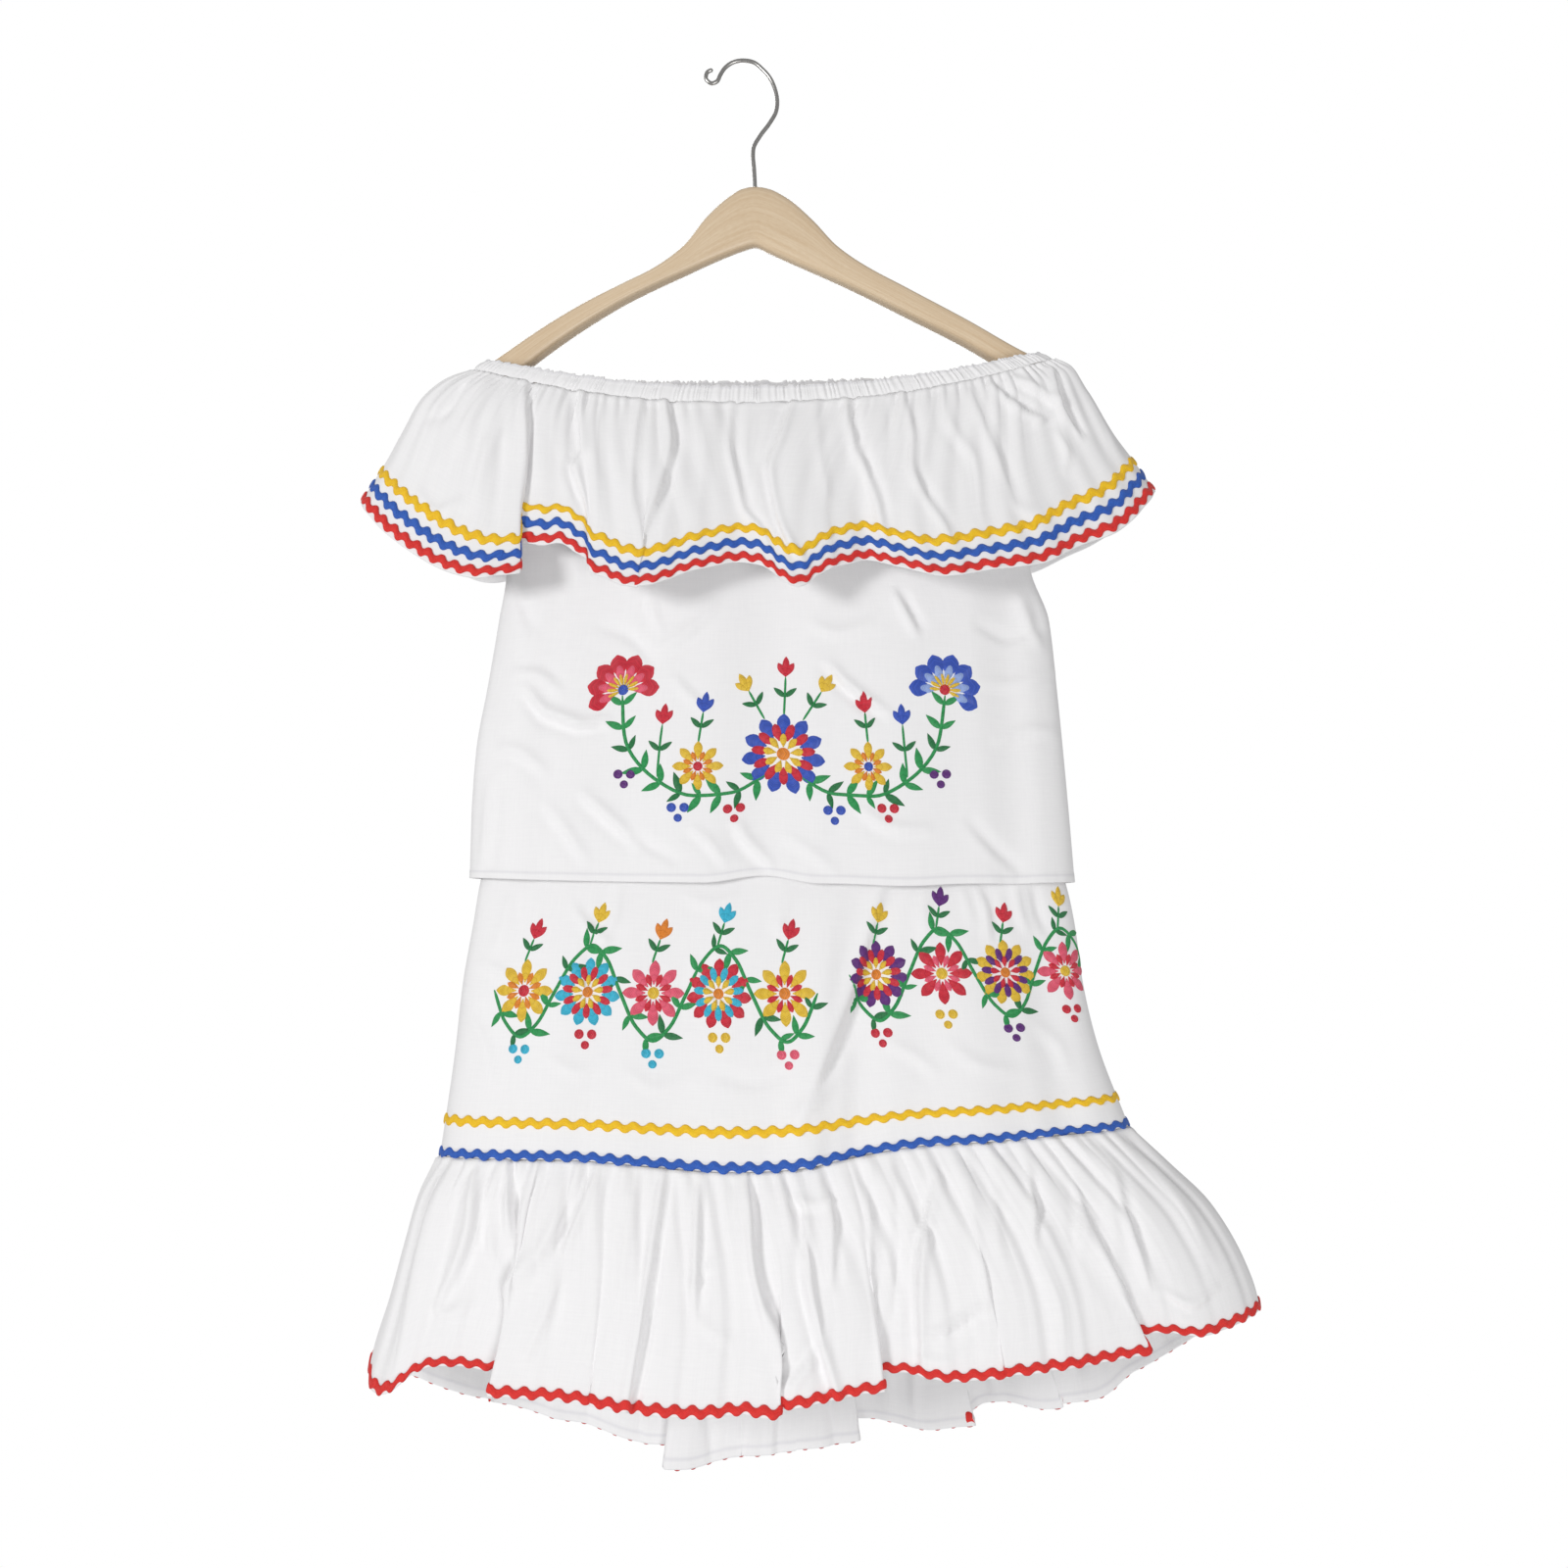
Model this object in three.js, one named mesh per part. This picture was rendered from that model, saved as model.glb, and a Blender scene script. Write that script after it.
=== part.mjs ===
// Skirt set on a wooden hanger: a gathered off-the-shoulder blouse with a deep neck flounce, a skirt with a
// gathered hem flounce, and the hanger that holds both.
// Frame: mm, +Z up, front of the garment towards -Y. The origin is the inside of the hook's crest.
import * as THREE from "three";

// ---------------------------------------------------------------- driving sizes
const CLOTH = 1.2; // wall of the single cotton cloth
const CLOTH_TOP = 1.0; // the same cloth where it is caught under the casing
const BAND = 2.4; // folded cloth over elastic
const GAP = 0.3; // space between pieces that touch
const TRIM = 1.0; // thickness of the ric-rac tape
const TRIM_BAND = 9.2; // height of the cloth course that carries one tape
const SEAM = 0.17; // half of the space at a side seam

const GATHERS = 80; // gathers round the neck casing
const GATHER_RISE = 0.9; // how far a casing gather stands out
const FLOUNCE_RIPPLE = 1.5; // small folds between the large ones of the neck flounce
const PLEATS_FRONT = 22; // gathers of the hem flounce, front
const PLEATS_BACK = 14; // gathers of the hem flounce, back
const PLEAT_DEPTH = 2.6; // half depth of one gather under the seam
const PLEAT_OPEN = 0.85; // how far the gathers open out towards the hem

const WIRE = 1.5; // radius of the hook wire
const WIRE_SIDES = 7;
const TAPE = { width: 8, thick: 1 };

// ---------------------------------------------------------------- rings (one row for each section down the cloth)
// s: distance down the cloth; xl, zl and xr, zr: left and right end; yf, zf and yb, zb: middle of front and back;
// p: how far out the ring stays level before it rises to its ends; n: how square its flattened oval is
const CASING_RINGS = [
  { s: 0, xl: -182, zl: -223.3, xr: 208, zr: -217.6, yf: 20, zf: -245.5, yb: 20, zb: -229, p: 2.2, n: 4 },
  { s: 12, xl: -191.6, zl: -230, xr: 217.8, zr: -222.7, yf: 22.5, zf: -257.3, yb: 22.5, zb: -240.8, p: 2.3, n: 4 },
];
const FLOUNCE_RINGS = [
  { s: 0, xl: -192.3, zl: -230.6, xr: 218.7, zr: -223.2, yf: 22.7, zf: -257.9, yb: 22.7, zb: -241.4, p: 2.3, n: 4 },
  { s: 22, xl: -209.8, zl: -236.6, xr: 230.4, zr: -228.2, yf: 30, zf: -279, yb: 29, zb: -262, p: 2.8, n: 3.6 },
  { s: 45, xl: -227.4, zl: -250.2, xr: 241.8, zr: -245.1, yf: 36.5, zf: -301, yb: 35, zb: -284, p: 3.4, n: 3.1 },
  { s: 72, xl: -240.7, zl: -273.7, xr: 254.7, zr: -268.8, yf: 43.5, zf: -327, yb: 41, zb: -310, p: 4.4, n: 2.7 },
  { s: 98.5, xl: -253, zl: -297, xr: 270.3, zr: -290.2, yf: 49.5, zf: -352.3, yb: 46.5, zb: -335.5, p: 5.6, n: 2.5 },
  { s: 109.7, xl: -258.7, zl: -306.7, xr: 276.7, zr: -299.5, yf: 51.8, zf: -363, yb: 48.5, zb: -346.3, p: 6.1, n: 2.5 },
  { s: 120.8, xl: -264.5, zl: -316.2, xr: 282.9, zr: -308.7, yf: 54, zf: -373.6, yb: 50.4, zb: -357.2, p: 6.6, n: 2.5 },
  { s: 130, xl: -269.2, zl: -324.1, xr: 287.9, zr: -316.4, yf: 56, zf: -382, yb: 52, zb: -366, p: 7, n: 2.5 },
];
const BODY_RINGS = [
  { s: 0, xl: -189.7, zl: -232.5, xr: 215.7, zr: -224.6, yf: 21.1, zf: -258.3, yb: 21.1, zb: -241.8, p: 2.3, n: 4 },
  { s: 42, xl: -176, zl: -285, xr: 203, zr: -282, yf: 23.5, zf: -300, yb: 23, zb: -288, p: 3, n: 3 },
  { s: 68, xl: -170, zl: -322, xr: 200, zr: -321, yf: 24.5, zf: -326, yb: 24, zb: -320, p: 3, n: 2.7 },
  { s: 88, xl: -167.5, zl: -346, xr: 198, zr: -346, yf: 25.2, zf: -346, yb: 24.5, zb: -344, p: 3, n: 2.5 },
  { s: 97, xl: -167, zl: -355, xr: 198, zr: -355, yf: 25.6, zf: -355, yb: 25, zb: -354, p: 3, n: 2.5 },
  { s: 115, xl: -166.5, zl: -373, xr: 200.3, zr: -373, yf: 26.2, zf: -373, yb: 25.5, zb: -373, p: 3, n: 2.5 },
  { s: 150, xl: -171.3, zl: -408, xr: 212.5, zr: -408, yf: 27.6, zf: -408, yb: 27, zb: -408, p: 3, n: 2.5 },
  { s: 195, xl: -178.2, zl: -453, xr: 217, zr: -453, yf: 29.2, zf: -453, yb: 28.5, zb: -453, p: 3, n: 2.5 },
  { s: 242, xl: -185.8, zl: -500, xr: 221, zr: -500, yf: 31, zf: -500, yb: 30, zb: -500, p: 3, n: 2.5 },
  { s: 289, xl: -188.3, zl: -547, xr: 224.6, zr: -547, yf: 33, zf: -547, yb: 32, zb: -547, p: 3, n: 2.5 },
  { s: 333, xl: -188.7, zl: -587.5, xr: 227.6, zr: -590.5, yf: 35, zf: -592, yb: 34, zb: -593, p: 3, n: 2.5 },
];
const WAIST_RINGS = [
  { s: 0, xl: -136, zl: -490, xr: 170, zr: -490, yf: 22, zf: -492, yb: 20, zb: -517, p: 2.6, n: 2.5 },
  { s: 18, xl: -137, zl: -508, xr: 171, zr: -508, yf: 22, zf: -510, yb: 20, zb: -535, p: 2.6, n: 2.5 },
];
const SKIRT_RINGS = [
  { s: 0, xl: -137, zl: -508.6, xr: 171, zr: -508.6, yf: 22, zf: -510.5, yb: 20, zb: -535.6, p: 2.6, n: 2.5 },
  { s: 38, xl: -162, zl: -545, xr: 196, zr: -545, yf: 25, zf: -547, yb: 23, zb: -574, p: 2.6, n: 2.5 },
  { s: 78, xl: -180.3, zl: -585, xr: 219.6, zr: -585, yf: 28.2, zf: -586, yb: 26.5, zb: -615, p: 2.6, n: 2.5 },
  { s: 113, xl: -186, zl: -620, xr: 227.3, zr: -620, yf: 32, zf: -620, yb: 29, zb: -652, p: 2.6, n: 2.5 },
  { s: 153, xl: -192.3, zl: -660, xr: 232, zr: -658, yf: 36, zf: -661, yb: 33, zb: -694, p: 2.6, n: 2.5 },
  { s: 198, xl: -196.6, zl: -705, xr: 241, zr: -699, yf: 40, zf: -706, yb: 37, zb: -741, p: 2.6, n: 2.5 },
  { s: 268, xl: -205.5, zl: -774.7, xr: 261.4, zr: -755, yf: 46, zf: -767.5, yb: 42, zb: -812, p: 2.6, n: 2.5 },
];
const HEM_RINGS = [
  { s: 0, xl: -205.8, zl: -775.1, xr: 261.8, zr: -755.4, yf: 46.2, zf: -768, yb: 42.2, zb: -812.5, p: 2.6, n: 2.5 },
  { s: 30, xl: -219.4, zl: -801, xr: 289, zr: -780.5, yf: 53, zf: -799, yb: 44.5, zb: -845, p: 2.6, n: 2.5 },
  { s: 64, xl: -227.8, zl: -831, xr: 316, zr: -807, yf: 58.5, zf: -832, yb: 46.5, zb: -883, p: 2.7, n: 2.5 },
  { s: 102, xl: -237, zl: -867.5, xr: 336.5, zr: -842, yf: 62.5, zf: -870, yb: 48.5, zb: -927, p: 2.8, n: 2.5 },
  { s: 136.8, xl: -247.3, zl: -902, xr: 345, zr: -866, yf: 65.5, zf: -906, yb: 50.5, zb: -968, p: 2.9, n: 2.5 },
  { s: 146, xl: -249, zl: -911.5, xr: 346.3, zr: -874.5, yf: 66.5, zf: -915, yb: 51, zb: -979, p: 3, n: 2.5 },
];

// ---------------------------------------------------------------- folds (one row for each large fold)
// at: place across the cloth at its lower edge; left, right: how far the fold runs to each side;
// out: how far it stands out (or in, below zero) there; drop: how far it lowers that edge; lean: shift of its upper end
const FLOUNCE_FRONT_FOLDS = [
  { at: -178, left: 62, right: 30, out: 8, drop: 8, lean: 40 },
  { at: -149, left: 8, right: 40, out: -9, drop: -22, lean: 4 },
  { at: -120, left: 22, right: 24, out: -6, drop: -15, lean: 2 },
  { at: -72, left: 34, right: 50, out: 9, drop: 14, lean: 12 },
  { at: -3, left: 28, right: 26, out: -6, drop: -5, lean: 4 },
  { at: 37, left: 26, right: 24, out: 9, drop: 15, lean: -4 },
  { at: 84, left: 21, right: 21, out: -9, drop: -6, lean: -14 },
  { at: 134, left: 36, right: 58, out: 5, drop: 8, lean: -26 },
  { at: 190, left: 36, right: 40, out: 2, drop: 3, lean: -34 },
  { at: 232, left: 30, right: 30, out: -3, drop: -4, lean: -40 },
];
const FLOUNCE_BACK_FOLDS = [
  { at: -190, left: 40, right: 36, out: 6, drop: 6, lean: 40 },
  { at: -118, left: 26, right: 26, out: -9, drop: -10, lean: 26 },
  { at: -52, left: 36, right: 34, out: 8, drop: 9, lean: 12 },
  { at: 12, left: 28, right: 28, out: -7, drop: -6, lean: 0 },
  { at: 74, left: 32, right: 34, out: 8, drop: 9, lean: -14 },
  { at: 136, left: 26, right: 26, out: -8, drop: -9, lean: -26 },
  { at: 200, left: 36, right: 40, out: 6, drop: 5, lean: -40 },
];
const BODY_FRONT_FOLDS = [
  { at: -158, left: 22, right: 26, out: 2.5, drop: 0, lean: 14 },
  { at: -84, left: 44, right: 40, out: -2, drop: 0, lean: 0 },
  { at: 14, left: 42, right: 38, out: -3.5, drop: -5, lean: 6 },
  { at: 110, left: 50, right: 40, out: 1.8, drop: 1.5, lean: -10 },
  { at: 186, left: 26, right: 20, out: -2.5, drop: 0.5, lean: -12 },
];
const BODY_BACK_FOLDS = [
  { at: -120, left: 46, right: 40, out: 2, drop: 1, lean: 12 },
  { at: -30, left: 40, right: 44, out: -2.5, drop: -2, lean: 4 },
  { at: 60, left: 40, right: 40, out: 2.2, drop: 1, lean: -4 },
  { at: 150, left: 44, right: 36, out: -2.5, drop: -1, lean: -12 },
];
const SEAM_FOLDS = [{ at: 12, left: 150, right: 118, out: 2, drop: 12, lean: 0 }];
const SKIRT_FRONT_FOLDS = [
  { at: -132, left: 34, right: 30, out: 2.6, drop: 0, lean: 26 },
  { at: -46, left: 40, right: 36, out: -2.4, drop: 0, lean: 10 },
  { at: 44, left: 30, right: 16, out: 4.5, drop: 0, lean: 22 },
  { at: 74, left: 15, right: 26, out: -3, drop: 0, lean: 14 },
  { at: 158, left: 40, right: 34, out: 3, drop: 0, lean: -22 },
  { at: 216, left: 22, right: 22, out: -3, drop: 0, lean: -34 },
];
const SKIRT_BACK_FOLDS = [
  { at: -140, left: 40, right: 40, out: 3, drop: 0, lean: 26 },
  { at: -56, left: 40, right: 38, out: -3, drop: 0, lean: 10 },
  { at: 30, left: 42, right: 40, out: 3.5, drop: 0, lean: 0 },
  { at: 112, left: 38, right: 40, out: -3, drop: 0, lean: -18 },
  { at: 196, left: 40, right: 34, out: 3, drop: 0, lean: -34 },
];
const HEM_FRONT_FOLDS = [
  { at: -238, left: 20, right: 26, out: 3, drop: 13, lean: 26 },
  { at: -196, left: 34, right: 30, out: -4, drop: -13, lean: 28 },
  { at: -168, left: 30, right: 15, out: -7, drop: -13, lean: 24 },
  { at: -45, left: 80, right: 60, out: 5, drop: 8, lean: 20 },
  { at: 14, left: 74, right: 95, out: 4, drop: 9, lean: 6 },
  { at: 20, left: 20, right: 9, out: 1.5, drop: 4, lean: 4 },
  { at: 93, left: 10, right: 48, out: -8, drop: -8, lean: -14 },
  { at: 174, left: 12, right: 74, out: 4, drop: -1, lean: -34 },
  { at: 268, left: 10, right: 38, out: -6, drop: -9, lean: -60 },
];
const HEM_BACK_FOLDS = [
  { at: -246, left: 16, right: 24, out: 2, drop: 7, lean: 30 },
  { at: -150, left: 80, right: 70, out: 3, drop: -9, lean: 24 },
  { at: -106, left: 30, right: 44, out: 2, drop: -5, lean: 18 },
  { at: -46, left: 12, right: 50, out: -8, drop: 14, lean: 12 },
  { at: 12, left: 60, right: 60, out: -4, drop: 7, lean: 4 },
  { at: 60, left: 34, right: 26, out: -3, drop: 3, lean: 0 },
  { at: 85, left: 10, right: 50, out: 5, drop: -11, lean: -14 },
  { at: 171, left: 10, right: 50, out: 6, drop: -11, lean: -34 },
  { at: 212, left: 30, right: 30, out: -3, drop: 2, lean: -44 },
  { at: 250, left: 34, right: 22, out: -4, drop: 6, lean: -60 },
];

// ---------------------------------------------------------------- hanger
const WOOD_SECTIONS = [
  { x: -224, top: -258, bottom: -267, half: 7.0 },
  { x: -217, top: -250.5, bottom: -273, half: 9.4 },
  { x: -180, top: -224.2, bottom: -247.5, half: 9.0 },
  { x: -140, top: -195.9, bottom: -215.3, half: 8.6 },
  { x: -113, top: -179.3, bottom: -195.9, half: 8.2 },
  { x: -86.6, top: -165.4, bottom: -179.3, half: 7.8 },
  { x: -65, top: -154.2, bottom: -168, half: 7.6 },
  { x: -43.5, top: -137.4, bottom: -158, half: 7.5 },
  { x: -27.5, top: -116.4, bottom: -150.5, half: 7.5 },
  { x: -11, top: -101, bottom: -143.2, half: 7.5 },
  { x: -1, top: -95.2, bottom: -139.4, half: 7.5 },
  { x: 7, top: -94, bottom: -137.2, half: 7.5 },
  { x: 16, top: -95.4, bottom: -141.2, half: 7.5 },
  { x: 29.7, top: -102.4, bottom: -147.6, half: 7.5 },
  { x: 48.5, top: -119.2, bottom: -156, half: 7.5 },
  { x: 64.8, top: -137.4, bottom: -163.3, half: 7.6 },
  { x: 83.7, top: -151.4, bottom: -172.4, half: 7.8 },
  { x: 116, top: -169.5, bottom: -189, half: 8.2 },
  { x: 156.3, top: -191.8, bottom: -210, half: 8.6 },
  { x: 200.5, top: -217.4, bottom: -238, half: 9.0 },
  { x: 213, top: -222.8, bottom: -246, half: 9.2 },
  { x: 227, top: -233.4, bottom: -253, half: 9.4 },
  { x: 233, top: -241, bottom: -249, half: 7.0 },
];
// centre line of the wire, from the wood to the small eye
const WIRE_LINE = [
  { x: 6.8, z: -93.6 }, { x: 6.1, z: -79.7 }, { x: 5.3, z: -69.3 }, { x: 5.6, z: -64.4 },
  { x: 10.3, z: -55.1 }, { x: 17.4, z: -45.2 }, { x: 21.8, z: -36.8 }, { x: 22.6, z: -27.4 },
  { x: 21.1, z: -20.0 }, { x: 17.6, z: -11.8 }, { x: 11.6, z: -4.6 }, { x: 5.6, z: 0.2 },
  { x: 0, z: 1.5 }, { x: -5.4, z: 1.3 }, { x: -10.4, z: -0.4 }, { x: -14.6, z: -3.6 },
  { x: -18.2, z: -9.0 }, { x: -20.9, z: -14.2 }, { x: -24.6, z: -15.6 }, { x: -28.6, z: -12.2 },
  { x: -27.6, z: -7.2 }, { x: -23.6, z: -5.2 },
];
// centre line of a hanging loop: x, y, z and the tilt of the tape's width in degrees
const LOOP_LEFT = { x: -200.5, bend: -150, foot: -122, arm: 9.3, top: -238.8, tilt: 35.4 };
const LOOP_RIGHT = { x: 223.4, bend: 181, foot: 156, arm: 9.4, top: -230.7, tilt: -37.1 };
const LOOP_BEND_Z = -345;

// ---------------------------------------------------------------- colours
const COTTON = { color: 0xeceaf0, roughness: 0.85, metalness: 0 };
const YELLOW = { color: 0xf6b81e, roughness: 0.7, metalness: 0 };
const BLUE = { color: 0x2f5fb8, roughness: 0.7, metalness: 0 };
const RED = { color: 0xd8322c, roughness: 0.7, metalness: 0 };
const WOOD = { color: 0xd9bd94, roughness: 0.55, metalness: 0 };
const NICKEL = { color: 0xa9a8a4, roughness: 0.3, metalness: 1 };

// ---------------------------------------------------------------- small maths
const lerp = (a, b, t) => a + (b - a) * t;
const clamp01 = (t) => Math.min(1, Math.max(0, t));
const signedPower = (t, e) => Math.sign(t) * Math.abs(t) ** e;
const unevenness = (i) => {
  const raw = Math.sin(i * 12.9898 + 4.1) * 43758.5453;
  return raw - Math.floor(raw);
};

function ringAt(rings, s) {
  let k = 1;
  while (k < rings.length - 1 && rings[k].s < s) {
    k += 1;
  }
  const a = rings[k - 1];
  const b = rings[k];
  const t = (s - a.s) / (b.s - a.s);
  return Object.fromEntries(Object.keys(a).map((key) => [key, lerp(a[key], b[key], t)]));
}

// A point of a ring. turn runs from 0 at the right end over the back to 1 at the left end, and over the front to 2.
function onRing(ring, turn) {
  const c = signedPower(Math.cos(Math.PI * turn), 2 / ring.n);
  const d = signedPower(Math.sin(Math.PI * turn), 2 / ring.n);
  const x = lerp(ring.xl, ring.xr, (c + 1) / 2);
  const y = d * (d < 0 ? ring.yf : ring.yb);
  const middle = d < 0 ? ring.zf : ring.zb;
  const sag = middle - (ring.zl + ring.zr) / 2;
  const z = lerp(ring.zl, ring.zr, (c + 1) / 2) + sag * (1 - Math.abs(c) ** ring.p);
  return new THREE.Vector3(x, y, z);
}

// Turns that lie at even distances along the ring between two turns.
function evenTurns(ring, from, to, count) {
  const steps = 720;
  const lengths = [0];
  let last = onRing(ring, from);
  for (let i = 1; i <= steps; i += 1) {
    const next = onRing(ring, lerp(from, to, i / steps));
    lengths.push(lengths[i - 1] + next.distanceTo(last));
    last = next;
  }
  const turns = [];
  let k = 1;
  for (let i = 0; i <= count; i += 1) {
    const wanted = (lengths[steps] * i) / count;
    while (k < steps && lengths[k] < wanted) {
      k += 1;
    }
    const t = (wanted - lengths[k - 1]) / (lengths[k] - lengths[k - 1]);
    turns.push(lerp(from, to, (k - 1 + clamp01(t)) / steps));
  }
  return turns;
}

// Sum of the large folds at x: how far the cloth stands out and how far its edge drops.
function foldsAt(folds, x, down) {
  const sum = { out: 0, drop: 0 };
  for (const fold of folds) {
    const away = x - (fold.at + fold.lean * (1 - down));
    const reach = away < 0 ? fold.left : fold.right;
    const share = Math.cos((Math.PI / 2) * clamp01(Math.abs(away) / reach)) ** 2;
    sum.out += share * fold.out;
    sum.drop += share * fold.drop;
  }
  return sum;
}

// ---------------------------------------------------------------- grids and walls
// A grid is columns[i][j]: i runs round the cloth, j runs down it. Its normals point away from the wearer.
function gridNormals(grid, closed) {
  const n = grid.length;
  const m = grid[0].length;
  return grid.map((column, i) =>
    column.map((point, j) => {
      const before = grid[closed ? (i + n - 1) % n : Math.max(0, i - 1)][j];
      const after = grid[closed ? (i + 1) % n : Math.min(n - 1, i + 1)][j];
      const above = column[Math.max(0, j - 1)];
      const below = column[Math.min(m - 1, j + 1)];
      const across = new THREE.Vector3().subVectors(after, before);
      const down = new THREE.Vector3().subVectors(below, above);
      const normal = new THREE.Vector3().crossVectors(down, across);
      normal.y *= Math.abs(point.y) < 2 * SEAM ? 0 : 1;
      return normal.normalize();
    }),
  );
}

function moved(grid, normals, distance) {
  return grid.map((column, i) => column.map((point, j) => point.clone().addScaledVector(normals[i][j], distance)));
}

// One closed solid between an outer and an inner grid.
function wallSolid(outer, inner, closed) {
  const n = outer.length;
  const m = outer[0].length;
  const positions = [];
  for (const grid of [outer, inner]) {
    for (const column of grid) {
      for (const point of column) {
        positions.push(point.x, point.y, point.z);
      }
    }
  }
  const out = (i, j) => (i % n) * m + j;
  const ins = (i, j) => n * m + (i % n) * m + j;
  const index = [];
  const quad = (a, b, c, d) => index.push(a, b, c, a, c, d);
  const columns = closed ? n : n - 1;
  for (let i = 0; i < columns; i += 1) {
    for (let j = 0; j < m - 1; j += 1) {
      quad(out(i, j), out(i, j + 1), out(i + 1, j + 1), out(i + 1, j));
      quad(ins(i, j), ins(i + 1, j), ins(i + 1, j + 1), ins(i, j + 1));
    }
    quad(out(i, 0), out(i + 1, 0), ins(i + 1, 0), ins(i, 0));
    quad(out(i, m - 1), ins(i, m - 1), ins(i + 1, m - 1), out(i + 1, m - 1));
  }
  for (let j = 0; j < m - 1 && !closed; j += 1) {
    quad(out(0, j), ins(0, j), ins(0, j + 1), out(0, j + 1));
    quad(out(n - 1, j), out(n - 1, j + 1), ins(n - 1, j + 1), ins(n - 1, j));
  }
  const geometry = new THREE.BufferGeometry();
  geometry.setAttribute("position", new THREE.Float32BufferAttribute(positions, 3));
  geometry.setIndex(index);
  return facedOutwards(geometry);
}

function facedOutwards(geometry) {
  const at = geometry.getAttribute("position");
  const index = geometry.getIndex().array;
  const a = new THREE.Vector3();
  const b = new THREE.Vector3();
  const c = new THREE.Vector3();
  let volume = 0;
  for (let k = 0; k < index.length; k += 3) {
    a.fromBufferAttribute(at, index[k]);
    b.fromBufferAttribute(at, index[k + 1]);
    c.fromBufferAttribute(at, index[k + 2]);
    volume += a.dot(b.cross(c)) / 6;
  }
  for (let k = 0; k < index.length && volume < 0; k += 3) {
    const kept = index[k + 1];
    index[k + 1] = index[k + 2];
    index[k + 2] = kept;
  }
  geometry.computeVertexNormals();
  return geometry;
}

function clothWall(grid, normals, thickness, closed) {
  return wallSolid(moved(grid, normals, thickness / 2), moved(grid, normals, -thickness / 2), closed);
}

// A tape that lies on one course of a grid, all round it.
function tapeOn(tube, course, clothThickness) {
  const inset = 0.06;
  const pick = (grid, share) => {
    return grid.map((column) => column[course].clone().lerp(column[course + 1], share));
  };
  const raise = (distance) => {
    const face = moved(tube.grid, tube.normals, clothThickness / 2 + distance);
    const upper = pick(face, inset);
    const lower = pick(face, 1 - inset);
    return upper.map((point, i) => [point, lower[i]]);
  };
  return wallSolid(raise(GAP + TRIM), raise(GAP), true);
}

// ---------------------------------------------------------------- tubes
// A tube has its front columns first, from left to right, and then its back columns, from right to left.
function tubeOf({ rings, levels, columnsFront, columnsBack, shape, widest = rings[rings.length - 1] }) {
  const front = evenTurns(widest, 1, 2, columnsFront);
  const back = evenTurns(widest, 0, 1, columnsBack);
  const length = rings[rings.length - 1].s;
  const place = (turn, k, isFront) =>
    levels.map((s) => {
      const ring = ringAt(rings, s);
      const point = onRing(ring, turn);
      const ahead = onRing(ring, turn + 0.004);
      const behind = onRing(ring, turn - 0.004);
      const outward = new THREE.Vector3(ahead.y - behind.y, behind.x - ahead.x, 0).normalize();
      const { out, drop } = shape({ point, k, isFront, down: s / length });
      point.addScaledVector(outward, out);
      point.z -= drop;
      const side = isFront ? -1 : 1;
      point.y = side * Math.max(SEAM, side * point.y);
      return point;
    });
  const grid = [
    ...front.map((turn, k) => place(turn, k, true)),
    ...back.map((turn, k) => place(turn, k, false)),
  ];
  const normals = gridNormals(grid, true);
  return { grid, normals, split: columnsFront + 1 };
}

function halfWalls(tube, thickness) {
  const front = clothWall(tube.grid.slice(0, tube.split), tube.normals.slice(0, tube.split), thickness, false);
  const back = clothWall(tube.grid.slice(tube.split), tube.normals.slice(tube.split), thickness, false);
  return { front, back };
}

// ---------------------------------------------------------------- blouse
function casing() {
  const turns = evenTurns(CASING_RINGS[1], 0, 2, GATHERS * 2).slice(0, -1);
  const grid = turns.map((turn) => [0, 12].map((s) => onRing(ringAt(CASING_RINGS, s), turn)));
  const normals = gridNormals(grid, true);
  const outer = grid.map((column, i) => {
    const rise = i % 2 === 0 ? GATHER_RISE * (0.6 + 0.4 * unevenness(i)) : 0;
    return column.map((point, j) => point.clone().addScaledVector(normals[i][j], BAND / 2 - 0.4 + rise));
  });
  const inner = moved(grid, normals, -BAND / 2);
  return wallSolid(outer, inner, true);
}

function neckFlounce() {
  return tubeOf({
    rings: FLOUNCE_RINGS,
    levels: FLOUNCE_RINGS.map((row) => row.s),
    columnsFront: 56,
    columnsBack: 36,
    shape: ({ point, k, isFront, down }) => {
      const { out, drop } = foldsAt(isFront ? FLOUNCE_FRONT_FOLDS : FLOUNCE_BACK_FOLDS, point.x, down);
      const ripple = (k % 2 === 0 ? 1 : -1) * FLOUNCE_RIPPLE * (0.35 + 0.65 * unevenness(k + 7));
      const edge = clamp01((Math.abs(point.y) - 6) / 14);
      const lowered = Math.min(1, down / 0.8) ** 2;
      return { out: (out * down ** 1.1 + ripple * Math.min(1, down * 3)) * edge, drop: drop * lowered * edge };
    },
  });
}

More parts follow.
